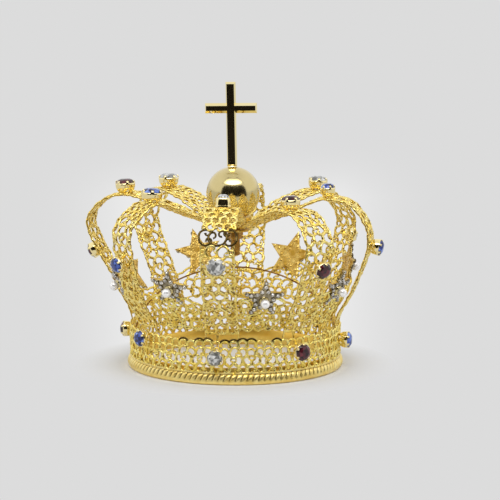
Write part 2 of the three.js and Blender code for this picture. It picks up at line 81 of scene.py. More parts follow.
def outlineCorners(index):
    bulge, shoulder, saddle = Vector(crown["bulge"]), Vector(crown["shoulder"]), Vector(crown["saddle"])
    bulge.x *= crown["bulgeRadiusShares"][index]
    bulge.y *= crown["bulgeHeightShares"][index]
    shoulder.x *= crown["shoulderRadiusShares"][index]
    shoulder.y *= crown["shoulderHeightShares"][index]
    out, up = crown["haunchOutShares"][index], crown["haunchUpShares"][index]
    haunch = Vector((bulge.x + (shoulder.x - bulge.x) * (1 - out), bulge.y + (shoulder.y - bulge.y) * up))
    middle = Vector((
        (shoulder.x + saddle.x) / 2,
        shoulder.y + (saddle.y - shoulder.y) * (1 - crown["slopeMiddleShares"][index]),
    ))
    foot = [Vector(corner) for corner in crown["footCorners"]]
    return foot + [bulge, haunch, shoulder, middle, saddle, Vector(crown["hubEnd"])]


def walkOutline(index, steps=1200):
    corners = outlineCorners(index)
    last = len(corners) - 1
    walk, run = [], 0.0
    for i in range(steps + 1):
        whole = min(int(i / steps * last), last - 1)
        t = i / steps * last - whole
        near = [corners[min(max(whole + k, 0), last)] for k in (-1, 0, 1, 2)]
        spot = Vector([catmullRom(t, *[p[axis] for p in near]) for axis in (0, 1)])
        if walk:
            run += (spot - walk[-1][1]).length
        walk.append((run, spot))
    return walk


outlines = [walkOutline(index) for index in everyArch]


# Radius, height and direction of an outline at a length along it
def outlineAt(outline, length):
    target = min(max(length, 0), outline[-1][0])
    high = max(bisect_left(outline, target, key=lambda step: step[0]), 1)
    (a, p), (b, q) = outline[high - 1], outline[high]
    spot = p.lerp(q, (target - a) / (b - a))
    return spot.x, spot.y, (q - p).normalized()


def lengthAtHeight(outline, height):
    return next(run for run, spot in outline if spot.y >= height)


def lengthAtRadius(outline, radius):
    return next(run for run, spot in outline if spot.y > crown["bulge"][1] and spot.x <= radius)


def evenTurn(index):
    return crown["frontArchTurn"] + index * sector


def archTurn(index):
    return evenTurn(index) + crown["archTurnShares"][index % crown["archCount"]] * sector


def around(turn, reach, height):
    return Vector((reach * sin(turn), -reach * cos(turn), height))


# Where a point drawn on a flat strip lands on the crown, in metres
def onArch(outline, across, length, out):
    radius, height, along = outlineAt(outline, length)
    return Vector((across, -radius - along.y * out, height - along.x * out)) * mm


def onGallery(turn, length, out):
    radius, height, along = outlineAt(outlines[0], length)
    back = out - crown["galleryInset"]
    return around(turn, radius + along.y * back, height - along.x * back) * mm


def onBand(turn, height, out):
    return around(turn, crown["bandRadius"] + out, height) * mm


def halfWidthAt(index, length):
    gaps = [archTurn(index) - archTurn(index - 1), archTurn(index + 1) - archTurn(index)]
    gaps = [gap % tau for gap in gaps]
    room = outlineAt(outlines[index], length)[0] * tan(min(gaps) / 2) - crown["archSideGap"] / 2
    return min(crown["archWidth"] / 2, room)


# A turned and lifted place on an outline, for what stands on it and faces out
def standMatrix(outline, length, out):
    radius, height, along = outlineAt(outline, length)
    normal = Vector((0, -along.y, -along.x))
    up = Vector((0, -along.x, along.y))
    across = up.cross(normal)
    spot = (Vector((0, -radius, height)) + normal * out) * mm
    return Matrix((
        (across.x, up.x, normal.x, spot.x),
        (across.y, up.y, normal.y, spot.y),
        (across.z, up.z, normal.z, spot.z),
        (0, 0, 0, 1),
    ))


# Materials: a node's inputs are set to values or fed by the outputs of other nodes
def setInputs(tree, node, values):
    for name, value in values.items():
        if isinstance(value, bpy.types.NodeSocket):
            tree.links.new(value, node.inputs[name])
        else:
            node.inputs[name].default_value = value


def addNode(tree, kind, values=(), **choices):
    node = tree.nodes.new("ShaderNode" + kind)
    for name, choice in choices.items():
        setattr(node, name, choice)
    setInputs(tree, node, dict(values))
    return node.outputs


def newMaterial(name):
    material = bpy.data.materials.new(name)
    material.use_nodes = True
    return material, material.node_tree, material.node_tree.nodes["Principled BSDF"]


def addNoise(tree, scale, detail=2):
    place = addNode(tree, "TexCoord")["Object"]
    return addNode(tree, "TexNoise", {"Vector": place, "Scale": scale, "Detail": detail})["Fac"]


def addAttribute(tree, name):
    return addNode(tree, "Attribute", attribute_name=name)["Fac"]


def addRange(tree, source, low, high, toLow, toHigh):
    values = {"Value": source, "From Min": low, "From Max": high, "To Min": toLow, "To Max": toHigh}
    return addNode(tree, "MapRange", values)["Result"]


def addMix(tree, share, *colours):
    first, second = [(*colour, 1) if isinstance(colour, tuple) else colour for colour in colours]
    return addNode(tree, "Mix", {"Factor": share, "A": first, "B": second}, data_type="RGBA")["Result"]


# Metal: two tones in soft patches and a fine grain, and on the filigree painted shade: dark specks at random
# and darker wire flanks
patch = {"grainShare": 0.25, "tones": (0.35, 0.65), "sheens": (0.3, 0.7), "speckEdge": 0.08, "speckShare": 0.9}


def makeMetal(name, colour, deepColour, roughness, grain, bump, bumpDepth=0.1, flankShades=None, shadeSpecks=None):
    material, tree, shader = newMaterial(name)
    tone = addNoise(tree, grain * patch["grainShare"], 3)
    colour = addMix(tree, addRange(tree, tone, *patch["tones"], 0, 1), colour, deepColour)
    # painted shade: dark specks scattered at random over the wire
    if shadeSpecks:
        speckShadeColour, speckGrain, low = shadeSpecks
        speck = addNoise(tree, speckGrain, 1)
        speck = addRange(tree, speck, low, low + patch["speckEdge"], 0, patch["speckShare"])
        colour = addMix(tree, speck, colour, speckShadeColour)
    # painted shade: where a wire's relief is low, on its flanks, it is painted darker
    if flankShades:
        flankShadeColour, low, high = flankShades
        flank = addRange(tree, addAttribute(tree, "relief"), low, high, 0, 1)
        colour = addMix(tree, flank, flankShadeColour, colour)
    values = {"Height": addNoise(tree, grain), "Strength": bump, "Distance": bumpDepth * mm}
    setInputs(tree, shader, {
        "Base Color": colour,
        "Metallic": 1,
        "Roughness": addRange(tree, tone, *patch["sheens"], *roughness),
        "Normal": addNode(tree, "Bump", values)["Normal"],
    })
    return material


# Cut stone: every facet has a random tone, from a painted dark reflection through the stone's own colour to a
# painted glint
facet = {
    "body": (0.15, 0.6), "paintedGlint": (0.62, 0.95), "grain": 900, "sheens": (0.3, 0.7), "roughness": (0.03, 0.12),
}


def makeStone(name, paintedDarkColour, colour, paintedGlintColour):
    material, tree, shader = newMaterial(name)
    tone = addAttribute(tree, "tone")
    body = addMix(tree, addRange(tree, tone, *facet["body"], 0, 1), paintedDarkColour, colour)
    setInputs(tree, shader, {
        "Base Color": addMix(tree, addRange(tree, tone, *facet["paintedGlint"], 0, 1), body, paintedGlintColour),
        "Metallic": 0.35,
        "Roughness": addRange(tree, addNoise(tree, facet["grain"]), *facet["sheens"], *facet["roughness"]),
        "Coat Weight": 0.45,
        "Coat Roughness": 0.02,
    })
    return material


def makePearl():
    material, tree, shader = newMaterial("pearl lustre")
    colour = addMix(tree, addNoise(tree, 500), (0.97, 0.96, 0.95), (0.88, 0.86, 0.85))
    setInputs(tree, shader, {
        "Base Color": colour, "Metallic": 0.45, "Roughness": 0.12, "Coat Weight": 0.5, "Coat Roughness": 0.05,
    })
    return material


# The filigree golds carry painted shade: dark specks at random and darker flanks
giltWire = makeMetal(
    "gilt wire", (1.0, 0.85, 0.33), (0.97, 0.71, 0.14), (0.2, 0.36), grain=1500, bump=0.6, bumpDepth=0.15,
    flankShades=((0.38, 0.21, 0.015), 0.05, 0.52), shadeSpecks=((0.30, 0.18, 0.02), 900, 0.6),
)
# A lighter copy of the gilt wire for the band and gallery, with narrower dark flanks: painted light
giltWireLit = makeMetal(
    "gilt wire painted lighter", (1.0, 0.87, 0.32), (1.0, 0.75, 0.14), (0.2, 0.36), grain=1500, bump=0.6,
    bumpDepth=0.15, flankShades=((0.38, 0.20, 0.01), 0.02, 0.42), shadeSpecks=((0.26, 0.15, 0.01), 900, 0.61),
)
# A near-black copy of the gilt wire: painted shade on the front arch's volutes, and painted dark reflection
# on the scallops at the band's front
giltShadeAndReflection = makeMetal(
    "gilt wire painted as shade and dark reflection", (0.12, 0.08, 0.022), (0.04, 0.025, 0.006), (0.2, 0.36), grain=1500, bump=0.6,
)
giltCollet = makeMetal(
    "collet gilt", (0.97, 0.83, 0.45), (0.95, 0.80, 0.38), (0.05, 0.12), grain=600, bump=0.08,
)
giltRope = makeMetal(
    "gilt rope", (0.94, 0.77, 0.31), (0.82, 0.62, 0.19), (0.32, 0.44), grain=1400, bump=0.25,
)
# The rope's gilt paints the grooves of its twist darker: painted shade
giltTwist = makeMetal(
    "gilt twist", (1.0, 0.82, 0.32), (0.90, 0.67, 0.20), (0.3, 0.42), grain=1400, bump=0.3,
    flankShades=((0.20, 0.11, 0.02), 0, 0.7),
)
giltSmooth = makeMetal(
    "gilt strip", (1.0, 0.76, 0.22), (0.95, 0.66, 0.15), (0.3, 0.42), grain=700, bump=0.12,
)
giltPolished = makeMetal(
    "polished gilt", (0.68, 0.57, 0.285), (0.66, 0.545, 0.26), (0.12, 0.17), grain=300, bump=0.01,
)
giltCross = makeMetal(
    "cross gilt", (1.0, 0.88, 0.50), (0.97, 0.83, 0.42), (0.03, 0.06), grain=300, bump=0.01,
)
giltTextured = makeMetal(
    "grained gilt", (0.90, 0.69, 0.24), (0.60, 0.37, 0.06), (0.2, 0.34), grain=1700, bump=0.7, bumpDepth=0.15,
)
darkSetting = makeMetal(
    "grey setting", (0.50, 0.43, 0.29), (0.14, 0.11, 0.06), (0.15, 0.3), grain=1500, bump=0.2,
)
plainBrass = makeMetal(
    "plain brass", (0.52, 0.30, 0.07), (0.26, 0.12, 0.02), (0.2, 0.34), grain=1800, bump=0.3,
)
stoneMaterials = {
    "clear": makeStone("clear stone", (0.15, 0.15, 0.14), (0.40, 0.40, 0.39), (0.72, 0.72, 0.70)),
    "garnet": makeStone("garnet stone", (0.012, 0.002, 0.003), (0.045, 0.006, 0.010), (0.15, 0.02, 0.03)),
    "sapphire": makeStone("sapphire stone", (0.008, 0.01, 0.06), (0.022, 0.055, 0.30), (0.22, 0.34, 0.82)),
}
smallStone = makeStone("small clear stone", (0.13, 0.12, 0.10), (0.62, 0.58, 0.52), (1.0, 0.97, 0.94))
pearlLustre = makePearl()
print("materials made")


# Piece helpers
def addObject(name, data):
    holder = bpy.data.objects.new(name, data)
    bpy.context.scene.collection.objects.link(holder)
    return holder


def addPiece(name, mesh, material, body="crown_frame", stands=(), finish="gilt", smooth=True):
    piece = addObject(name, mesh)
    mesh.materials.clear()
    mesh.materials.append(material)
    if smooth:
        mesh.shade_smooth()
    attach(piece, body)
    if stands:
        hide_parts(*stands)


def shift(x, y, z):
    return Matrix.Translation(Vector((x, y, z)) * mm)


def turnAbout(axis, angle):
    return Matrix.Rotation(angle, 4, axis)


def toMesh(name, form):
    mesh = bpy.data.meshes.new(name)
    form.to_mesh(mesh)
    form.free()
    return mesh


def joinForms(name, forms):
    whole = bmesh.new()
    for form, place in forms:
        part = toMesh("part", form)
        part.transform(place)
        whole.from_mesh(part)
        bpy.data.meshes.remove(part)
    return toMesh(name, whole)


# A form turned about the upright axis from a line of (radius, height)
def spunForm(rows, steps):
    form = bmesh.new()
    knots = [form.verts.new((r * mm, 0, z * mm)) for r, z in rows]
    edges = [form.edges.new(pair) for pair in zip(knots, knots[1:])]
    axis = {"axis": (0, 0, 1), "cent": (0, 0, 0), "angle": tau}
    bmesh.ops.spin(form, geom=knots + edges, steps=steps, use_merge=True, **axis)
    bmesh.ops.remove_doubles(form, verts=form.verts, dist=1e-6)
    bmesh.ops.recalc_face_normals(form, faces=form.faces)
    return form


# A form skinned over rings of points: capped at both ends, or closed on itself
def ringForm(rings, looped=False):
    form = bmesh.new()
    loops = []
    for ring in rings:
        knots = [form.verts.new(Vector(spot) * mm) for spot in ring]
        loops.append([form.edges.new(pair) for pair in zip(knots, knots[1:] + knots[:1])])
    followers = loops[1:] + loops[:1] if looped else loops[1:]
    for here, there in zip(loops, followers):
        bmesh.ops.bridge_loops(form, edges=here + there)
    if not looped:
        bmesh.ops.edgeloop_fill(form, edges=loops[0])
        bmesh.ops.edgeloop_fill(form, edges=loops[-1])
    bmesh.ops.recalc_face_normals(form, faces=form.faces)
    return form


def addValues(mesh, name, values, domain="POINT"):
    mesh.attributes.new(name, "FLOAT", domain).data.foreach_set("value", values)


# A random tone for every facet, which the stones paint as dark reflections and glints
def addTones(mesh, seed):
    chance = random.Random(seed)
    addValues(mesh, "tone", [chance.random() for _ in mesh.polygons], "FACE")


# Strokes of (x, y, swell) drawn flat as round wire
def drawWire(name, strokes, radius, resolution=2):
    curve = bpy.data.curves.new(name, "CURVE")
    curve.dimensions = "3D"
    curve.twist_mode = "Z_UP"
    curve.bevel_depth = radius
    curve.bevel_resolution = resolution
    curve.use_fill_caps = True
    for stroke in strokes:
        spline = curve.splines.new("POLY")
        spline.points.add(len(stroke["points"]) - 1)
        for knot, (x, y, swell) in zip(spline.points, stroke["points"]):
            knot.co = (x, y, 0, 1)
            knot.radius = swell
        spline.use_cyclic_u = stroke["closed"]
    holder = addObject(name, curve)
    mesh = bpy.data.meshes.new_from_object(holder.evaluated_get(bpy.context.evaluated_depsgraph_get()))
    bpy.data.objects.remove(holder)
    bpy.data.curves.remove(curve)
    return mesh


# The same wire with every point of it laid on the crown, a little uneven in depth
def wireMesh(name, strokes, wire, place):
    mesh = drawWire(name, strokes, wire["radius"])
    reliefs = []
    for vertex in mesh.vertices:
        x, y, z = vertex.co
        out = copysign(min(abs(z) * wire["rise"], wire["cap"]), z)
        ripple = noise.noise(Vector((x, y, 7)) * wire["rippleScale"]) * wire["ripple"]
        vertex.co = place(x, y, out + ripple)
        # relief is 1 on a wire's face and 0 at its flanks, where the metals paint shade
        reliefs.append(abs(out) / wire["cap"])
    addValues(mesh, "relief", reliefs)
    return mesh


# Flat drawing of the filigree: each line is a list of (x, y, swell)
def ringLine(x, y, radius, tall=1.0, steps=14):
    turns = [tau * i / steps for i in range(steps)]
    points = [(x + radius * cos(a), y + radius * tall * sin(a), 0.85) for a in turns]
    return {"closed": True, "points": points}


def openLine(points):
    return {"closed": False, "points": [(*p, 1) if len(p) == 2 else p for p in points]}


# A C scroll: a round back whose two ends curl in, thinner and closer, each to a small bead
scroll = {"step": 18, "closing": 0.45, "thinning": 0.22, "bead": 1.3, "middle": 1.05}


def scrollLine(x, y, radius, facing, tall=1.0, back=140, curl=150, curlShare=0.42):
    step = radians(scroll["step"])

    def half(side):
        spot, heading, walked, line = Vector((radius, 0)), pi / 2 * side, 0, []
        while walked < back + curl:
            past = max(walked - back, 0) / curl
            bend = radius * (1 if walked < back else curlShare * (1 - scroll["closing"] * past))
            spot = spot + Vector((cos(heading), sin(heading))) * bend * step
            heading += step * side
            walked += scroll["step"]
            line.append((spot.x, spot.y, 1 - scroll["thinning"] * past))
        return line[:-1] + [(line[-1][0], line[-1][1], scroll["bead"])]

    drawn = half(-1)[::-1] + [(radius, 0, scroll["middle"])] + half(1)
    cosine, sine = cos(facing), sin(facing)
    return openLine([
        (x + px * cosine - py * sine, y + (px * sine + py * cosine) * tall, swell) for px, py, swell in drawn
    ])


# A rosette: a ring of petals round a bead
rosette = {"petals": 7, "petalShare": 0.3, "beadShare": 0.26}


def rosetteLines(x, y, radius):
    petal = radius * rosette["petalShare"]
    reach = radius - petal
    lines = [ringLine(x, y, radius * rosette["beadShare"], steps=8)]
    for i in range(rosette["petals"]):
        turn = tau * i / rosette["petals"] + pi / 2
        lines.append(ringLine(x + reach * cos(turn), y + reach * sin(turn), petal, steps=10))
    return lines


# Band: three rows of kidney scrolls under a row of arcs that makes the scalloped edge
bandWork = {
    "wire": {"radius": 0.45, "rise": 0.98, "cap": 0.44, "ripple": 0.3, "rippleScale": 0.55},
    "columns": 78,
    "rowHeights": (5.9, 8.75, 11.6),
    "rowLeans": (38, 14, 60),
    "scrollRadii": (1.36, 1.42, 1.42),
    "tall": 1.12,
    "sway": 28,
    "sizes": (0.92, 1.05),
    "drift": (0.22, 0.2),
    "bead": (0.4, 1.2),
    "beadDrop": 0.3,
    "arcHeight": 14.5,
    "arcRadius": 1.46,
    "arcTurns": (-20, 220, 12),
    "arcDrift": (-0.35, 0.25),
    "arcBeadDrop": 0.5,
    # A near-black scallop above some arcs, only at the front: painted dark reflection
    "darkShare": 0.55,
    "darkReach": 0.5,
    "darkOut": 0.6,
    "hem": {"half": 0.38, "rise": 0.35, "edge": 0.15},
}


def drawBand():
    lines, darkReflectionScallops = [], []
    chance = random.Random(11)
    pitch = tau * crown["bandRadius"] / bandWork["columns"]
    (bead, tall), (aside, rise) = bandWork["bead"], bandWork["drift"]
    radius, sway = bandWork["arcRadius"], bandWork["sway"]
    start, sweep, steps = bandWork["arcTurns"]
    arc = [radians(start + sweep * n / steps) for n in range(steps + 1)]
    for i in range(bandWork["columns"]):
        for row, height in enumerate(bandWork["rowHeights"]):
            x = (i + 0.5 * (row % 2)) * pitch
            lean = bandWork["rowLeans"][row] * (1 if i % 2 else -1)
            facing = radians((0 if (i + row) % 2 else 180) + lean + chance.uniform(-sway, sway))
            size = bandWork["scrollRadii"][row] * chance.uniform(*bandWork["sizes"])
            moved = (x + chance.uniform(-aside, aside), height + chance.uniform(-rise, rise))
            lines.append(scrollLine(*moved, size, facing, bandWork["tall"]))
            if row == 0:
                lines.append(ringLine(x + pitch / 2, height - bandWork["beadDrop"], bead, tall, 8))
        x = i * pitch
        middle = bandWork["arcHeight"] + chance.uniform(*bandWork["arcDrift"])
        lines.append(openLine([(x + radius * cos(a), middle + radius * sin(a)) for a in arc]))
        turn = crown["frontArchTurn"] + x / crown["bandRadius"]
        # painted dark reflection: a scallop wire above the arc, only where the band faces front
        if chance.random() < bandWork["darkShare"] and cos(turn) > cos(bandWork["darkReach"]):
            reach = radius + bandWork["darkOut"]
            scallop = [(x + reach * cos(a), middle + reach * sin(a), 0.9) for a in arc[3:10]]
            darkReflectionScallops.append(openLine(scallop))
        foot = bandWork["arcHeight"] - bandWork["arcBeadDrop"]
        lines.append(ringLine(x + pitch / 2, foot, bead, 1.0, 8))
    return lines, darkReflectionScallops


def makeBand():
    def lay(x, y, out):
        return onBand(crown["frontArchTurn"] + x / crown["bandRadius"], y, out)

    lines, darkReflectionScallops = drawBand()
    mesh = wireMesh("bandWork", lines, bandWork["wire"], lay)
    addPiece("bandWork", mesh, giltWireLit, stands=["band_filigree"])
    addPiece("bandDarkReflection", wireMesh("bandDarkReflection", darkReflectionScallops, bandWork["wire"], lay), giltShadeAndReflection)
    hem = bandWork["hem"]
    inner, outer = crown["bandRadius"] - hem["half"], crown["bandRadius"] + hem["half"]
    low, high = crown["bandFoot"] - crown["solderGap"], crown["bandFoot"] + hem["rise"]
    rows = [(inner, low), (outer, low), (outer, high - hem["edge"]), (outer - hem["edge"], high)]
    rows += [(inner, high), (inner, low)]
    addPiece("bandHem", toMesh("bandHem", spunForm(rows, 128)), giltRope, smooth=False)


# Gallery: for every sector, an arc at the foot, rows of scrolls, a rosette and a lobed edge
galleryWork = {
    "wire": {"radius": 0.44, "rise": 1.0, "cap": 0.44, "ripple": 0.45, "rippleScale": 0.5},
    "window": 4.4,
    "foot": 14.0,
    "arcTop": 19.6,
    "arcPower": 0.35,
    "arcSwell": 0.62,
    "fieldFoot": 20.6,
    "columns": 8,
    "rowPitch": 3.2,
    "tall": 1.1,
    "sizes": (0.94, 1.04),
    "leans": (0, 35, 145, 180, 215, 325),
    "sway": 12,
    "bead": (0.36, 1.2),
    "beadLift": 0.3,
    "beadRoom": 2,
    "rosette": 3.4,
    "rosetteDrop": 0.9,
    "rosetteRoom": 1.1,
    "leastRoom": 0.9,
    "edge": 26.5,
    "lobePower": 1.6,
    "borderRipple": 0.35,
    "lobes": [31.6, 31.6, 31.6, 31.6, 31.6, 23.5, 31.6, 31.6],
    "radius": 38.5,
}


def drawGallerySector(lobeHeight):
    width = sector * galleryWork["radius"]
    heights = [galleryWork[name] for name in ("foot", "arcTop", "fieldFoot", "edge")] + [lobeHeight]
    foot, arcTop, length, edge, lobe = [lengthAtHeight(outlines[0], height) for height in heights]
    arc = []
    for a in [pi * k / 24 for k in range(25)]:
        rise = (arcTop - foot) * sin(a) ** galleryWork["arcPower"]
        arc.append((-width / 2 * cos(a), foot + rise, galleryWork["arcSwell"]))
    lines = [openLine(arc)]
    hasRosette = lobe > edge
    middle = (edge + lobe) / 2 - galleryWork["rosetteDrop"]

    def borderAt(share):
        return edge + (lobe - edge) * max(cos(pi * share), 0) ** galleryWork["lobePower"]

    chance = random.Random(5)
    columns, pitch, sway = galleryWork["columns"], galleryWork["rowPitch"], galleryWork["sway"]
    clear = galleryWork["rosette"] + galleryWork["rosetteRoom"]
    step = width / columns
    row = 0
    while length < max(lobe, edge):
        for i in range(columns):
            x = (i + 0.5 * (row % 2)) * step - width / 2
            room = borderAt(min(abs(x) / width, 0.5)) - length
            nearRosette = hasRosette and hypot(x, length - middle) < clear
            behindArch = width / 2 - abs(x) < galleryWork["window"]
            if room < galleryWork["leastRoom"] or nearRosette or behindArch:
                continue
            radius = step / 2 * chance.uniform(*galleryWork["sizes"])
            lean = radians(chance.choice(galleryWork["leans"]) + chance.uniform(-sway, sway))
            lines.append(scrollLine(x, length, radius, lean, pitch / step * galleryWork["tall"]))
            if room > galleryWork["beadRoom"]:
                place = (x + step / 2, length + galleryWork["beadLift"])
                lines.append(ringLine(*place, *galleryWork["bead"], 8))
        row += 1
        length += pitch
    if hasRosette:
        lines += rosetteLines(0, middle, galleryWork["rosette"])
    border = []
    for i in range(33):
        share = i / 32 - 0.5
        ripple = galleryWork["borderRipple"] * abs(sin(pi * 8 * share))
        border.append((share * width, borderAt(share) + ripple))
    return lines + [openLine(border)]


def makeGallery():
    strokes = []
    width = sector * galleryWork["radius"]
    for index in everyArch:
        for line in drawGallerySector(galleryWork["lobes"][index]):
            moved = [(x + (index + 0.5) * width, y, swell) for x, y, swell in line["points"]]
            strokes.append({"closed": line["closed"], "points": moved})

    def lay(x, y, out):
        return onGallery(crown["frontArchTurn"] + x / galleryWork["radius"], y, out)

    mesh = wireMesh("galleryWork", strokes, galleryWork["wire"], lay)
    addPiece("galleryWork", mesh, giltWireLit, stands=["gallery"])


# Arches: scrolls packed like a honeycomb, finer on top, with small rings along the sides
archWork = {
    "wire": {"radius": 0.49, "rise": 0.92, "cap": 0.44, "ripple": 0.4, "rippleScale": 0.5},
    "rowPitch": 3.55,
    "firstRow": 0.2,
    "tall": 1.12,
    "fullHalfWidth": 5.8,
    "leastShare": 0.5,
    "fieldFoot": 19.9,
    "footSwell": 0.6,
    "footBar": (1.2, 1.6),
    "hubRoom": 1.0,
    "leans": (-35, 20, 55),
    "sway": 10,
    "sizes": (0.94, 1.03),
    "sideRing": 0.2,
    "border": {"swell": 0.72, "inset": 0.7, "ripple": 0.45, "steps": 120},
    "fine": {"height": 57.5, "radius": 40, "pitchShare": 0.78},
    "volutes": {
        "height": 54.6, "room": 2.9, "below": 0.45, "above": 0.4, "swell": 0.85,
        "curve": (1.1, 125, 250, 0.5),
        "scrolls": ((-4.2, 2.45, 190), (-0.1, 2.8, -80), (4.1, 2.45, 10)),
    },
}


# The wires along an arch's foot and sides, left out beside the volutes of the front arch
def drawArchBorder(index, length, voluteLength):
    outline, border, wire = outlines[index], archWork["border"], archWork["wire"]["radius"]
    foot, end = lengthAtHeight(outline, crown["archFoot"]), outline[-1][0] - archWork["hubRoom"]
    half, swell = halfWidthAt(index, foot) - wire, archWork["footSwell"]
    lines = []
    for side in (-1, 1):
        x = side * half
        lines.append(openLine([(x, foot, swell), (x, (foot + length) / 2, swell), (x, length, 1)]))
    ends, middle = [length - drop for drop in archWork["footBar"]]
    lines.append(openLine([(-half, ends), (0, middle), (half, ends)]))
    for side in (-1, 1):
        points = []
        for n in range(border["steps"] + 1):
            run = length + (end - length) * n / border["steps"]
            edge = halfWidthAt(index, run) - wire * border["inset"]
            edge -= border["ripple"] * abs(sin(pi * run / archWork["rowPitch"]))
            if index or abs(run - voluteLength) >= archWork["volutes"]["room"]:
                points.append((side * edge, run, border["swell"]))
            elif points:
                lines.append(openLine(points))
                points = []
        lines.append(openLine(points))
    return lines


def drawArch(index):
    outline, fine, volutes = outlines[index], archWork["fine"], archWork["volutes"]
    voluteLength = lengthAtHeight(outline, volutes["height"])
    length = lengthAtHeight(outline, archWork["fieldFoot"])
    lines, darkLines = drawArchBorder(index, length, voluteLength), []
    length += archWork["rowPitch"] * archWork["firstRow"]
    chance, sway = random.Random(index + 3), archWork["sway"]
    row = 0
    while length < outline[-1][0] - archWork["hubRoom"]:
        half = halfWidthAt(index, length) - archWork["wire"]["radius"]
        pitch = archWork["rowPitch"] * max(half / archWork["fullHalfWidth"], archWork["leastShare"])
        voluteFoot = voluteLength - volutes["room"] - pitch * volutes["below"]
        # the front arch's volutes are set apart, to be made in the near-black gilt as painted shade
        if index == 0 and not darkLines and length > voluteFoot:
            for place, radius, facing in volutes["scrolls"]:
                line = scrollLine(place, voluteLength, radius, radians(facing), *volutes["curve"])
                points = [(x, y, swell * volutes["swell"]) for x, y, swell in line["points"]]
                darkLines.append(openLine(points))
            row += 1
            length = voluteLength + volutes["room"] + pitch * volutes["above"]
            continue
        height = outlineAt(outline, length)[1]
        isFine = height > fine["height"] or length > lengthAtRadius(outline, fine["radius"])
        across = half * 2 / (4 if isFine else 3)
        pitch *= fine["pitchShare"] if isFine else 1
        tall = pitch / across * archWork["tall"]
        if isFine:
            places = (-1.5, -0.5, 0.5, 1.5) if row % 2 == 0 else (-1, 0, 1)
        else:
            places = (-1, 0, 1) if row % 2 == 0 else (-0.5, 0.5)
        lean = chance.choice(archWork["leans"])
        for place in places:
            side = 1 if place >= 0 else -1
            turn = (0 if side > 0 else 180) + side * lean + chance.uniform(-sway, sway)
            turn += chance.choice((0, 180)) if place else chance.choice((90, -90))
            radius = across / 2 * chance.uniform(*archWork["sizes"])
            lines.append(scrollLine(place * across, length, radius, radians(turn), tall))
        ring = across * archWork["sideRing"]
        if row % 2:
            lines += [ringLine(side * (half - ring), length, ring, tall, 9) for side in (-1, 1)]
        row += 1
        length += pitch
    return lines, darkLines


def makeArches():
    for index in everyArch:
        turn = Matrix.Rotation(archTurn(index), 3, "Z")

        def lay(x, y, out):
            return turn @ onArch(outlines[index], x, y, out)

        lines, darkLines = drawArch(index)
        mesh = wireMesh("archWork", lines, archWork["wire"], lay)
        addPiece(f"archWork_{index + 1}", mesh, giltWire, stands=[f"arch_{index + 1}"])
        # painted shade: the volutes in the near-black gilt
        if darkLines:
            mesh = wireMesh("archVolutes", darkLines, archWork["wire"], lay)
            addPiece(f"archVolutes_{index + 1}", mesh, giltShadeAndReflection)


makeBand()
makeGallery()
makeArches()
print("filigree made")


# Rim: a smooth strip inside, and outside a ring pressed to look like rope
rim = {
    "strip": (37.2, 38.0, 6.0),
    "stripEdge": 0.12,
    "ropeInner": 38.3,
    "ropeDepth": 1.7,
    "ropeHeight": 4.0,
    "twists": 120,
    "stepsPerTwist": 8,
    "groove": {"depth": 0.6, "width": 0.2, "foot": 0.38, "fade": 0.12, "power": 0.6},
    "slant": 0.9,
    "swells": (
        (0.0, 0.35), (0.06, 0.62), (0.2, 0.9), (0.36, 1.0), (0.5, 0.99),
        (0.57, 0.97), (0.64, 0.93), (0.72, 0.87), (0.8, 0.78), (0.88, 0.67), (0.97, 0.45),
    ),
}


# How deep the grooves of the twist are at a turn and a share of the height, from 0 to 1
def grooveAt(turn, high):
    groove = rim["groove"]
    lobe = (turn / tau * rim["twists"] - (high - 0.5) * rim["slant"]) % 1
    inside = max(0, 1 - min(lobe, 1 - lobe) / groove["width"]) ** groove["power"]
    return inside * min(max((high - groove["foot"]) / groove["fade"], 0), 1)


def makeRim():
    inner, outer, top = rim["strip"]
    edge = rim["stripEdge"]
    rows = [(inner, edge), (inner + edge, 0), (outer - edge, 0), (outer, edge), (outer, top - edge)]
    rows += [(outer - edge, top), (inner + edge, top), (inner, top - edge), (inner, edge)]
    addPiece("rimStrip", toMesh("rimStrip", spunForm(rows, 144)), giltSmooth, stands=["base_strip"])

    foot, depth, height = rim["ropeInner"], rim["ropeDepth"], rim["ropeHeight"]
    rows = [(foot, 0)] + [(foot + depth * swell, high * height) for high, swell in rim["swells"]]
    rows += [(foot, height), (foot, 0)]
    form = spunForm(rows, rim["twists"] * rim["stepsPerTwist"])
    reliefs = []
    for knot in form.verts:
        reach = hypot(knot.co.x, knot.co.y) / mm
        groove = 0
        if reach > foot + crown["solderGap"] / 2:
            groove = grooveAt(atan2(knot.co.x, -knot.co.y), knot.co.z / mm / height)
        sunk = foot + (reach - foot) * (1 - groove * rim["groove"]["depth"] / depth)
        knot.co.xy *= sunk / reach
        # relief is low in the grooves, which the rope's gilt paints darker as painted shade
        reliefs.append(1 - groove)
    mesh = toMesh("rimRope", form)
    addValues(mesh, "relief", reliefs)
    addPiece("rimRope", mesh, giltTwist, stands=["rope_rim"])


makeRim()
print("rim made")


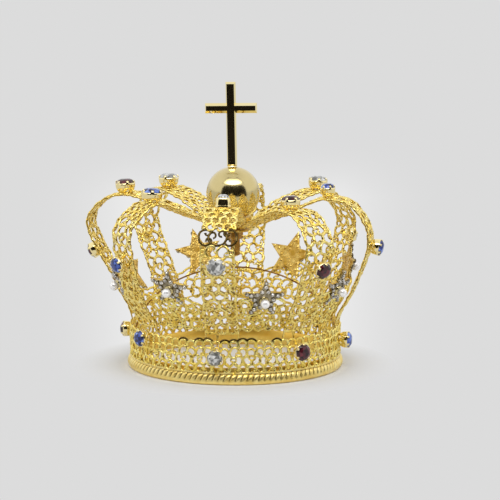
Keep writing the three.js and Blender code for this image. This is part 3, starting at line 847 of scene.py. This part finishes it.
# Collets and stones, made standing on +Z and then set on the crown
setting = {
    "band": {"radius": 2.9, "height": 3.2},
    "arch": {"radius": 3.0, "height": 3.4},
    "top": {"radius": 3.55, "height": 3.6},
    "radiusShares": {
        "band": [1, 1.1, 1.05, 1, 1, 1, 1, 1.05],
        "arch": [1.13, 1.05, 1, 1, 1, 1, 1, 1],
        "top": [0.74, 0.98, 0.75, 1.03, 1, 1.08, 1.04, 1.08],
    },
    "bandHeight": 10.8,
    "bandHeightShares": [0.95, 1.02, 0.97, 1, 1, 1, 1.1, 1.31],
    "archHeight": 44,
    "archHeightShares": [1.04, 0.98, 1.04, 1.02, 1.04, 1, 0.968, 0.966],
    "topShares": [0.98, 1.02, 1.02, 1.02, 1.02, 1.02, 1.02, 1.02],
    "topAside": [0, 0, 0, 0, 2.4, 0, 0, 0],
    "topSink": [0, 0, 0, 0, 1.0, 0, 0, 0],
    "topLean": [1, 0, 0, 0, 0, 0, 0, 0],
    "seatShare": 0.7,
    "wall": 0.3,
    "claws": 6,
    "footedArches": (3, 5),
    "girdleInset": 0.1,
    "stoneTurn": 1.3,
    "crownHeight": 1.45,
    "depthShare": 0.62,
    "liftShare": 0.96,
    "cup": (
        (0.82, 0.14), (0.93, 0.34), (0.98, 0.5), (1.0, 0.76), (1.01, 0.94), (0.99, 1.08), (0.88, 1.2),
    ),
    "slot": {"low": 0.3, "high": 0.76, "from": 0.44, "to": 0.56},
    "claw": {"low": 0.95, "from": 0.37, "to": 0.63},
    "plainShare": 0.86,
    "plainSquareness": 3.2,
    "plainCup": (
        (0.3, -0.2), (0.96, -0.2), (1.08, -0.08), (1.1, 0.06), (1.04, 0.14), (1.03, 0.2), (1.02, 0.4),
        (0.99, 0.6), (0.94, 0.78), (0.87, 0.9), (0.82, 0.92), (0.78, 0.8), (0.3, -0.2),
    ),
}


# A plain closed cup, a little squared
def plainCupForm(radius, height):
    form = spunForm([(radius * share, rise * height) for share, rise in setting["plainCup"]], 48)
    power = setting["plainSquareness"]
    for knot in form.verts:
        knot.co.xy *= sum(abs(share) ** power for share in knot.co.xy.normalized()) ** (-1 / power)
    bmesh.ops.recalc_face_normals(form, faces=form.faces)
    return form


# A cup of claws: slots below the girdle, and claws bent over the stone's edge
def colletForm(radius, height, slotted, footed):
    seat = radius * setting["seatShare"]
    slot, claw = setting["slot"], setting["claw"]
    rows = [(0, -0.5)] if footed else []
    rows += [(seat * 0.8, -0.5), (seat * 0.97, 0)]
    rows += [(radius * share, rise * height) for share, rise in setting["cup"]]
    form = spunForm(rows, setting["claws"] * 8)

    def inGap(face):
        middle = face.calc_center_median()
        share = (atan2(middle.y, middle.x) / tau * setting["claws"]) % 1
        rise = middle.z / mm / height
        inSlot = slot["low"] < rise < slot["high"] and slot["from"] < share < slot["to"]
        betweenClaws = rise > claw["low"] and not claw["from"] <= share <= claw["to"]
        return (slotted and inSlot) or betweenClaws

    bmesh.ops.delete(form, geom=[face for face in form.faces if inGap(face)], context="FACES")
    bmesh.ops.recalc_face_normals(form, faces=form.faces)
    bmesh.ops.solidify(form, geom=form.faces, thickness=setting["wall"] * mm)
    bmesh.ops.recalc_face_normals(form, faces=form.faces)
    return form


# A brilliant: the facets are the hull of its table, girdle and pavilion corners
def stoneForm(girdle, crownHeight, depth, sides=16):
    form = bmesh.new()
    for count, radius, height, turn in (
        (sides // 2, girdle * 0.48, crownHeight * 0.96, pi / sides),
        (sides // 2, girdle * 0.78, crownHeight * 0.68, 0),
        (sides, girdle, 0.02, 0),
        (sides, girdle, -0.12 * depth, 0),
        (sides // 2, girdle * 0.55, -0.62 * depth, 0),
        (1, 0.0, -depth, 0),
        (1, 0.0, crownHeight, 0),
    ):
        for i in range(count):
            a = turn + tau * i / count
            form.verts.new((radius * cos(a) * mm, radius * sin(a) * mm, height * mm))
    bmesh.ops.convex_hull(form, input=form.verts)
    bmesh.ops.dissolve_limit(form, angle_limit=radians(0.3), verts=form.verts, edges=form.edges)
    bmesh.ops.recalc_face_normals(form, faces=form.faces)
    return form


def bandMatrix(index):
    height = setting["bandHeight"] * setting["bandHeightShares"][index]
    spot = shift(0, -crown["bandRadius"] - crown["sheet"] / 2, height)
    return turnAbout("Z", evenTurn(index)) @ spot @ turnAbout("X", pi / 2)


def archMatrix(index, length):
    return turnAbout("Z", archTurn(index)) @ standMatrix(outlines[index], length, crown["sheet"] / 2)


def makeSettings():
    for index in everyArch:
        outline, colour = outlines[index], stoneColours[index]
        belly = lengthAtHeight(outline, setting["archHeight"] * setting["archHeightShares"][index])
        shoulder = crown["shoulder"][0] * crown["shoulderRadiusShares"][index] * setting["topShares"][index]
        aside = shift(setting["topAside"][index], 0, -setting["topSink"][index])
        aside = aside @ turnAbout("X", radians(setting["topLean"][index]))
        places = {
            "band": bandMatrix(index),
            "arch": archMatrix(index, belly),
            "top": archMatrix(index, lengthAtRadius(outline, shoulder)) @ aside,
        }
        for kind, place in places.items():
            radius = setting[kind]["radius"] * setting["radiusShares"][kind][index]
            height = setting[kind]["height"]
            if kind == "top" and index == 0:
                form = plainCupForm(radius, height)
                girdle, lift = radius * setting["plainShare"], height * setting["plainShare"]
            else:
                footed = kind == "arch" and index in setting["footedArches"]
                form = colletForm(radius, height, kind != "arch", footed)
                girdle, lift = radius - setting["girdleInset"], height * setting["liftShare"]
            collet = toMesh("collet", form)
            collet.transform(place)
            addPiece(f"{kind}Collet_{index + 1}", collet, giltCollet, finish="gilt_polished")
            gem = toMesh("stone", stoneForm(girdle, setting["crownHeight"], height * setting["depthShare"]))
            gem.transform(place @ shift(0, 0, lift) @ turnAbout("Z", index * setting["stoneTurn"]))
            addTones(gem, f"{kind}{index}")
            look = {"stands": [f"{kind}_stone_{index + 1}"], "finish": f"stone_{colour}", "smooth": False}
            addPiece(f"{kind}Stone_{index + 1}", gem, stoneMaterials[colour], **look)


makeSettings()
print("collets and stones made")


# Stars: a domed plate, a row of small stones along every arm, and a pearl
star = {
    "radius": 8.2,
    "notch": 3.6,
    "thickness": 0.8,
    "edge": 0.3,
    "backDish": 0.18,
    "dome": 0.9,
    "height": 32.5,
    "heightShares": [0.97, 0.975, 1, 1.01, 1.01, 1, 1, 1.05],
    "turnShares": [0.47, 0.52, 0.5, 0.57, 0.57, 0.73, 0.6, 0.5],
    "spinShares": [-0.03, 0, 0, 0.11, -0.11, -0.1, 0, -0.11],
    "scales": [1, 1, 1.05, 1.25, 1.22, 1.26, 1, 1],
    "asides": [0.5, -0.6, 0, -1.4, -1.1, 0, 0, 0],
    "lifts": [-0.8, 0, 2, 1, 1.8, -2.2, -0.5, 0],
    "leans": [0, 0, -17, 0, 0, 0, 0, 0],
    "sinks": [1.8, 1.8, 3.6, 1.8, 1.8, 1.8, 1.8, 1.8],
    "points": 5,
    "pearl": 1.68,
    "pearlDrop": 0.4,
    "beads": ((3.4, -19, 0.86), (3.4, 19, 0.86), (5.15, 0, 0.92), (6.75, 0, 0.74)),
    "bowSteps": 8,
    "face": {"lift": 0.12, "share": 0.95},
    "stone": {"share": 0.84, "height": 0.45, "depth": 0.5, "sides": 8, "lift": 0.44},
    "backBead": {"share": 0.8, "lift": 0.12, "flat": 0.4},
    "cup": ((0.85, -0.5), (1.1, 0.3), (1.06, 0.5), (0.82, 0.46)),
    "pearlCup": ((1.85, 1.2), (1.75, 1.75), (1.45, 2.3), (1.1, 2.2), (0.6, 1.8)),
}


# The plate has a bevelled edge, and its front rises along every arm
def starPlateForm():
    edge, thickness, dome = star["edge"], star["thickness"], star["dome"]

    def ring(inset, height, swell=0):
        for i in range(star["points"] * 2):
            radius = (star["radius"] - inset * 2.2) if i % 2 == 0 else (star["notch"] - inset)
            turn = pi / 2 + pi * i / star["points"]
            lift = height + swell * (1 - radius / star["radius"])
            yield radius * cos(turn), radius * sin(turn), lift

    rims = ((edge, 0), (0, edge / 2), (0, thickness - edge / 2), (edge * 0.6, thickness, dome * 0.6))
    form = ringForm([ring(*rim) for rim in rims])
    caps = [face for face in form.faces if len(face.verts) > 4]
    for knot in bmesh.ops.poke(form, faces=caps)["verts"]:
        isFront = knot.co.z > thickness / 2 * mm
        knot.co = (0, 0, (thickness + dome * 0.75 if isFront else star["backDish"]) * mm)
    bmesh.ops.recalc_face_normals(form, faces=form.faces)
    return form


def beadPlaces():
    for arm in range(star["points"]):
        for reach, aside, radius in star["beads"]:
            turn = pi / 2 + tau * arm / star["points"] + radians(aside)
            rise = star["thickness"] + star["dome"] * 0.6 * (1 - reach / star["radius"])
            yield Vector((reach * cos(turn), reach * sin(turn), rise)), radius


def starBackOut(outline, length):
    radius, height, along = outlineAt(outline, length)
    normal = Vector((along.y, -along.x))
    bow = 0
    for n in range(star["bowSteps"]):
        below = outlineAt(outline, max(length - star["radius"] * (n + 1) / star["bowSteps"], 0))
        bow = max(bow, Vector((below[0] - radius, below[1] - height)).dot(normal))
    return crown["sheet"] / 2 - crown["galleryInset"] + crown["solderGap"] + bow


# The pieces of one star, standing at the origin: name, mesh, material, finish label and whether it is smooth
def starPieces():
    def ball(radius, columns, rows):
        form = bmesh.new()
        bmesh.ops.create_uvsphere(form, u_segments=columns, v_segments=rows, radius=radius * mm)
        return form

    plate = toMesh("starPlate", starPlateForm())
    face, stone, back = plate.copy(), star["stone"], star["backBead"]
    inset = Matrix.Diagonal((star["face"]["share"], star["face"]["share"], 1, 1))
    face.transform(shift(0, 0, star["face"]["lift"]) @ inset)
    cups, brilliants, backs = [], [], []
    for spot, radius in beadPlaces():
        at = shift(*spot)
        cups.append((spunForm([(radius * share, height) for share, height in star["cup"]], 12), at))
        brilliant = stoneForm(radius * stone["share"], stone["height"], stone["depth"], stone["sides"])
        brilliants.append((brilliant, at @ shift(0, 0, stone["lift"])))
        flat = shift(spot.x, spot.y, back["lift"]) @ Matrix.Diagonal((1, 1, back["flat"], 1))
        backs.append((ball(radius * back["share"], 10, 6), flat))
    pearl = toMesh("pearl", ball(star["pearl"], 32, 20))
    pearlCup = toMesh("pearlCup", spunForm(star["pearlCup"], 24))
    pearlLift = star["thickness"] + star["dome"] + crown["solderGap"] / 2 + star["pearl"]
    pearl.transform(shift(0, -star["pearlDrop"], pearlLift))
    pearlCup.transform(shift(0, -star["pearlDrop"], 0))
    return (
        ("starPlate", plate, giltTextured, "gilt", False),
        ("starFace", face, darkSetting, "gilt", False),
        ("starCups", joinForms("cups", cups), darkSetting, "gilt", True),
        ("starStones", joinForms("stones", brilliants), smallStone, "stone_clear", False),
        ("starBack", joinForms("backs", backs), giltTextured, "gilt", True),
        ("starPearl", pearl, pearlLustre, "pearl", True),
        ("starPearlCup", pearlCup, giltPolished, "gilt", True),
    )


def starMatrix(index):
    outline = outlines[0]
    length = lengthAtHeight(outline, star["height"] * star["heightShares"][index])
    gap = (archTurn(index + 1) - archTurn(index)) % tau
    turn = turnAbout("Z", archTurn(index) + gap * star["turnShares"][index])
    place = turn @ standMatrix(outline, length, starBackOut(outline, length))
    place = place @ shift(star["asides"][index], star["lifts"][index], -star["sinks"][index])
    place = place @ turnAbout("X", radians(star["leans"][index]))
    scale = star["scales"][index]
    spin = tau / star["points"] * star["spinShares"][index]
    return place @ turnAbout("Z", spin) @ Matrix.Diagonal((scale, scale, 1, 1))


def makeStars():
    pieces = starPieces()
    for index in everyArch:
        place = starMatrix(index)
        stands = {"starPlate": [f"star_{index + 1}"], "starPearl": [f"pearl_{index + 1}"]}
        for name, form, material, finish, smooth in pieces:
            mesh = form.copy()
            mesh.transform(place)
            if name == "starStones":
                addTones(mesh, f"star{index}")
            piece = f"{name}_{index + 1}"
            addPiece(piece, mesh, material, "crown_frame", stands.get(name, ()), finish, smooth)
    for piece in pieces:
        bpy.data.meshes.remove(piece[1])


makeStars()
print("stars made")


# Orb and cross on their stud, with the seat, washer and nut that hold them, and the hoop inside
finial = {
    "orbRadius": 9.9,
    "orbCentre": 63.9,
    "orbAside": -0.8,
    "crossAside": -1.15,
    "hole": 1.95,
    "barWidth": 3.7,
    "thickness": 2.4,
    "armThickness": 2.3,
    "armSpan": 19.2,
    "armHeight": 95.4,
    "top": 105,
    "uprightCut": (0.48, 0.7),
    "armCut": (0.45, 0.95),
    "topHole": 1.5,
    "orbWallShare": 0.94,
    "orbSteps": 44,
    "turn": radians(-8),
    "lean": radians(-1.1),
    "ferrule": 1.7,
    "ferruleHeight": 0.8,
    "ferruleShares": ((0, 0), (1, 0), (1, 0.2), (0.82, 0.65), (0.74, 1), (0, 1.1)),
    "studFoot": 40.95,
    "studRadius": 1.9,
    "studTop": 73.2,
    "thread": {"pitch": 0.7, "length": 12, "depth": 0.3, "lead": 0.35},
    "seat": {"radius": 6, "cone": 4.1, "foot": 52.25, "dish": 53.4, "orbGap": 0.6, "band": 1.2, "edge": 0.1},
    "washer": (5.2, 49.95, 50.75),
    "washerEdge": 0.15,
    "nut": (5.0, 47.05, 49.65),
    "nutEdge": 0.25,
}
hoop = {"wire": 0.3, "foot": 8, "apex": 36.4, "halfSpan": 37.7, "turn": radians(88), "steps": 60}


def makeOrb():
    centre, radius, wall = finial["orbCentre"], finial["orbRadius"], finial["orbWallShare"]
    start = asin(finial["hole"] / radius)
    end = pi - asin(finial["topHole"] / radius)
    steps = finial["orbSteps"]
    turns = [start + (end - start) * i / steps for i in range(steps + 1)]
    rows = [(radius * sin(a), centre - radius * cos(a)) for a in turns]
    inner = [(r * wall, centre + (z - centre) * wall) for r, z in reversed(rows)]
    ball = toMesh("orbBall", spunForm(rows + inner + rows[:1], 80))
    ball.transform(shift(finial["orbAside"], 0, 0))
    addPiece("orbBall", ball, giltPolished, "finial", ["orb"], "gilt_polished")


# An upright bar between two corners (x, z), its front and back rims cut back along sides and ends
def barForm(low, high, thickness, cut):
    rings = []
    for depth, share in ((-0.5, 1), (-0.1, 0), (0.1, 0), (0.5, 1)):
        left, right = low[0] + cut[0] * share, high[0] - cut[0] * share
        foot, top = low[1] + cut[1] * share, high[1] - cut[1] * share
        corners = ((left, foot), (right, foot), (right, top), (left, top))
        rings.append([(x, depth * thickness, z) for x, z in corners])
    return ringForm(rings)


def makeCross():
    foot = finial["orbCentre"] + sqrt(finial["orbRadius"] ** 2 - finial["ferrule"] ** 2)
    half, arm, height = finial["barWidth"] / 2, finial["armSpan"] / 2, finial["armHeight"]
    low = foot + finial["ferruleHeight"] / 2
    upright = barForm((-half, low), (half, finial["top"]), finial["thickness"], finial["uprightCut"])
    level = barForm((-arm, height - half), (arm, height + half), finial["armThickness"], finial["armCut"])
    bars = joinForms("crossBars", [(upright, Matrix.Identity(4)), (level, Matrix.Identity(4))])
    pivot = shift(0, 0, foot)
    aside = shift(finial["crossAside"], 0, 0)
    lean = turnAbout("Y", finial["lean"]) @ turnAbout("Z", finial["turn"])
    bars.transform(aside @ pivot @ lean @ pivot.inverted())
    addPiece("crossBars", bars, giltCross, "finial", ["cross"], "gilt_polished", smooth=False)
    wide, high = finial["ferrule"], finial["ferruleHeight"]
    rows = [(wide * share, foot + high * rise) for share, rise in finial["ferruleShares"]]
    ferrule = toMesh("crossFerrule", spunForm(rows, 40))
    ferrule.transform(aside)
    addPiece("crossFerrule", ferrule, giltCollet, "finial", [], "gilt_polished")


def makeStud():
    foot, top, radius, thread = finial["studFoot"], finial["studTop"], finial["studRadius"], finial["thread"]
    pitch, root = thread["pitch"], radius - thread["depth"]
    turns = int(thread["length"] / pitch)
    rows = [(0, foot), (radius - thread["lead"], foot)]
    for i in range(turns):
        rows += [(radius, foot + (i + 0.5) * pitch), (root, foot + (i + 1) * pitch)]
    rows += [(radius, foot + (turns + 0.5) * pitch), (radius, top), (0, top)]
    addPiece("studRod", toMesh("studRod", spunForm(rows, 28)), plainBrass, "finial", ["stud"], "plain_brass")


# The seat is dished to the orb
def makeSeat():
    bore, seat = finial["hole"], finial["seat"]
    radius, foot, edge = seat["radius"], seat["foot"], seat["edge"]
    top = finial["orbCentre"] - sqrt(finial["orbRadius"] ** 2 - radius ** 2) - seat["orbGap"]
    rows = [(bore, foot), (seat["cone"], foot), (seat["cone"] + edge * 3, foot + edge)]
    low = top - seat["band"]
    rows += [(radius - edge, low), (radius, low + edge * 2), (radius, top - edge), (radius - edge, top)]
    rows += [(bore, seat["dish"]), (bore, foot)]
    addPiece("hubSeat", toMesh("hubSeat", spunForm(rows, 56)), giltTextured, stands=["hub_disc"])


# The washer is flat with rounded edges, and the nut is a hexagon with chamfered corners
def makeWasherAndNut():
    bore, edge = finial["hole"], finial["washerEdge"]
    outer, low, high = finial["washer"]
    rows = [(bore, low), (outer - edge, low), (outer, low + edge), (outer, high - edge), (outer - edge, high)]
    rows += [(bore, high), (bore, low)]
    washer = toMesh("hubWasher", spunForm(rows, 56))
    addPiece("hubWasher", washer, giltTextured, stands=["washer"], finish="plain_brass")
    flats, low, high = finial["nut"]
    corner, edge = flats / sqrt(3), finial["nutEdge"]
    turns = [pi * k / 18 for k in range(36)]
    shares = [cos(pi / 6) / cos(a % (pi / 3) - pi / 6) for a in turns]

    def hexagon(reach, height):
        return [(reach * share * cos(a), reach * share * sin(a), height) for a, share in zip(turns, shares)]

    levels = [(corner * 0.93, low), (corner, low + edge), (corner, high - edge), (corner * 0.93, high)]
    rings = [hexagon(*level) for level in levels]
    rings += [[(bore * cos(a), bore * sin(a), height) for a in turns] for height in (high, low)]
    nut = toMesh("studNut", ringForm(rings, looped=True))
    addPiece("studNut", nut, plainBrass, "finial", ["nut"], "plain_brass", smooth=False)


# Half an ellipse drawn flat, then stood up across the band
def makeHoop():
    rise = hoop["apex"] - hoop["foot"]
    turns = [pi / 2 * (2 * n / hoop["steps"] - 1) for n in range(hoop["steps"] + 1)]
    line = openLine([(hoop["halfSpan"] * sin(a), rise * cos(a)) for a in turns])
    mesh = drawWire("hoopWire", [line], hoop["wire"], 3)
    stand = shift(0, 0, hoop["foot"]) @ turnAbout("X", pi / 2) @ Matrix.Diagonal((mm, mm, mm, 1))
    mesh.transform(turnAbout("Z", hoop["turn"] + pi / 2) @ stand)
    addPiece("hoopWire", mesh, plainBrass, stands=["inner_hoop"], finish="plain_brass")


makeOrb()
makeCross()
makeStud()
makeSeat()
makeWasherAndNut()
makeHoop()
print("finial made")


# Stage: pale floor and background, a bright tent, and its dark mouth in front
stage = {
    "tone": 0.716,
    "floorTone": 0.63,
    "innerPaintedLightTone": 0.88,
    "floorSize": 4.0,
    "fade": (0.040, 0.060),
    "innerPaintedLightEdge": (0.036, 0.043),
    "glowTone": 0.82,
    "glowWidth": 0.052,
    "glowSpread": 0.07,
    "glowEdge": (0.75, 1.45),
    "glowStart": (-0.03, 0.03),
    "glowEnd": (0.5, 0.85),
    "lights": (
        (-1.0, 0.85), (0.0, 0.716), (0.05, 0.716), (0.18, 0.955),
        (0.5, 0.96), (0.75, 0.98), (0.9, 0.9), (1.0, 0.85),
    ),
    "strength": 1.0,
    "mouth": {
        "radius": 0.9, "left": -54, "right": 60, "top": 44, "foot": 0.045,
        "floorNear": 0.48, "floorFar": 1.0, "floorLift": 0.0005, "roundness": (3, 0.3),
        "tone": (0.012, 0.01, 0.008, 1),
    },
    "softbox": {
        "radius": 0.88, "centre": 0.05, "side": 64, "low": 43.5, "high": 74,
        "peak": 11.0, "rise": 0.2, "fall": 1.1,
    },
}


# The floor is lit as it is near the crown and keeps its flat tone further off; behind the crown
# a painted pool of light makes it a little brighter, and inside the band it is painted lighter
def makeFloor():
    form = bmesh.new()
    bmesh.ops.create_grid(form, x_segments=2, y_segments=2, size=stage["floorSize"])
    piece = addObject("floor", toMesh("floor", form))
    material, tree, shader = newMaterial("pale floor")

    def reckon(operation, first, second=0.0):
        return addNode(tree, "Math", {0: first, 1: second}, operation=operation)["Value"]

    place = addNode(tree, "TexCoord")["Object"]
    split = addNode(tree, "SeparateXYZ", {"Vector": place})
    away, side = split["Y"], reckon("ABSOLUTE", split["X"])
    # painted light: a pool of light on the floor behind the crown
    width = reckon("ADD", reckon("MULTIPLY", away, stage["glowSpread"]), stage["glowWidth"])
    glow = addRange(tree, reckon("DIVIDE", side, width), *stage["glowEdge"], 1, 0)
    glow = reckon("MULTIPLY", glow, addRange(tree, away, *stage["glowEnd"], 1, 0))
    glow = reckon("MULTIPLY", glow, glow)
    glow = reckon("MULTIPLY", glow, addRange(tree, away, *stage["glowStart"], 0, 1))
    tones = [(stage[key],) * 3 for key in ("tone", "glowTone", "innerPaintedLightTone", "floorTone")]
    emissionShader = addNode(tree, "Emission", {"Color": addMix(tree, glow, *tones[:2])})["Emission"]
    reach = addNode(tree, "VectorMath", {0: place}, operation="LENGTH")["Value"]
    # painted light: the floor's colour is lighter inside the band, against the crown's shade
    inside = addRange(tree, reach, *stage["innerPaintedLightEdge"], 0, 1)
    values = {"Base Color": addMix(tree, inside, *tones[2:]), "Roughness": 0.9, "Specular IOR Level": 0}
    setInputs(tree, shader, values)
    path = addNode(tree, "LightPath")
    seen = reckon("MAXIMUM", path["Is Camera Ray"], path["Is Glossy Ray"])
    seen = reckon("MAXIMUM", seen, path["Is Transmission Ray"])
    share = reckon("MULTIPLY", seen, addRange(tree, reach, *stage["fade"], 0, 1))
    surface = addNode(tree, "MixShader", {0: share, 1: shader.outputs["BSDF"], 2: emissionShader})["Shader"]
    setInputs(tree, tree.nodes["Material Output"], {"Surface": surface})
    piece.data.materials.append(material)


# A card bent from a flat grid, whose place takes the share across (-1 to 1) and up (0 to 1)
def makeCard(name, material, columns, rows, place, glow=None):
    form = bmesh.new()
    bmesh.ops.create_grid(form, x_segments=columns, y_segments=rows, size=1)
    shares = [(knot.co.x, (knot.co.y + 1) / 2) for knot in form.verts]
    for knot, share in zip(form.verts, shares):
        knot.co = place(*share)
    mesh = toMesh(name, form)
    mesh.materials.append(material)
    if glow:
        addValues(mesh, "glow", [glow(*share) for share in shares])
    piece = addObject(name, mesh)
    piece.visible_camera = False
    return piece


# The mouth of the tent: an upright dark card bent round the camera, and its foot on the floor
def makeMouth():
    mouth = stage["mouth"]
    material, tree, shader = newMaterial("dark card")
    setInputs(tree, shader, {"Base Color": mouth["tone"], "Roughness": 1, "Specular IOR Level": 0})
    middle, half = (mouth["left"] + mouth["right"]) / 2, (mouth["right"] - mouth["left"]) / 2
    top = mouth["radius"] * tan(radians(mouth["top"]))
    outer, inner = mouth["roundness"]

    def upright(across, up):
        high = top * max(1 - abs(across) ** outer, 0) ** inner + mouth["foot"]
        return around(radians(middle + half * across), mouth["radius"], high * up)

    def lying(across, up):
        reach = mouth["floorNear"] + (mouth["floorFar"] - mouth["floorNear"]) * up
        return around(radians(middle + half * across), reach, mouth["floorLift"])

    for name, place in (("card", upright), ("floorCard", lying)):
        piece = makeCard(name, material, 48, 6, place)
        piece.visible_diffuse = piece.visible_shadow = piece.visible_transmission = False


# A softbox over the mouth: bent like it, brightest in its middle
def makeSoftbox():
    box = stage["softbox"]
    material, tree = newMaterial("softbox cloth")[:2]
    strength = addRange(tree, addAttribute(tree, "glow"), 0, 1, 0, box["peak"])
    emissionShader = addNode(tree, "Emission", {"Strength": strength})["Emission"]
    setInputs(tree, tree.nodes["Material Output"], {"Surface": emissionShader})

    def place(across, up):
        turn = radians(box["side"] * across)
        rise = radians(box["low"] + (box["high"] - box["low"]) * up)
        return around(turn, box["radius"] * cos(rise), box["radius"] * sin(rise) + box["centre"])

    def glow(across, up):
        return max(1 - across ** 2, 0) * min(up / box["rise"], 1) * max(1 - up, 0) ** box["fall"]

    makeCard("softbox", material, 24, 10, place, glow)


# The tent's brightness by height, with the floor's tone at the horizon
def makeWorld():
    world = bpy.data.worlds.new("studio")
    world.use_nodes = True
    bpy.context.scene.world = world
    tree = world.node_tree
    ramp = tree.nodes.new("ShaderNodeFloatCurve")
    knots = ramp.mapping.curves[0].points
    levels = [((height + 1) / 2, tone / 2) for height, tone in stage["lights"]]
    knots[0].location, knots[1].location = levels[0], levels[-1]
    for level in levels[1:-1]:
        knots.new(*level)
    ramp.mapping.update()
    height = addNode(tree, "SeparateXYZ", {"Vector": addNode(tree, "TexCoord")["Generated"]})["Z"]
    setInputs(tree, ramp, {"Value": addRange(tree, height, -1, 1, 0, 1)})
    glow = addRange(tree, ramp.outputs["Value"], 0, 1, 0, 2)
    setInputs(tree, tree.nodes["Background"], {"Color": glow, "Strength": stage["strength"]})


# The camera as fitted to the photograph: 8.4 degrees above the horizon, 796 mm away
shot = {
    "elevation": 8.4, "distance": 0.796, "focal": 2151, "frame": 500, "centre": (235.3, 244.05),
    "target": 0.045, "sensor": 36,
}


def makeCamera():
    camera = bpy.data.cameras.new("camera")
    camera.sensor_width = shot["sensor"]
    camera.lens = shot["focal"] / shot["frame"] * shot["sensor"]
    camera.shift_x = (shot["frame"] / 2 - shot["centre"][0]) / shot["frame"]
    camera.shift_y = (shot["centre"][1] - shot["frame"] / 2) / shot["frame"]
    holder = addObject("camera", camera)
    rise = radians(shot["elevation"])
    back = Vector((0, -cos(rise), sin(rise)))
    holder.location = Vector((0, 0, shot["target"])) + back * shot["distance"]
    holder.rotation_mode = "QUATERNION"
    holder.rotation_quaternion = (-back).to_track_quat("-Z", "Y")
    bpy.context.scene.camera = holder


makeFloor()
makeMouth()
makeSoftbox()
makeWorld()
makeCamera()
bpy.context.scene.view_settings.view_transform = "Standard"
print("stage set")
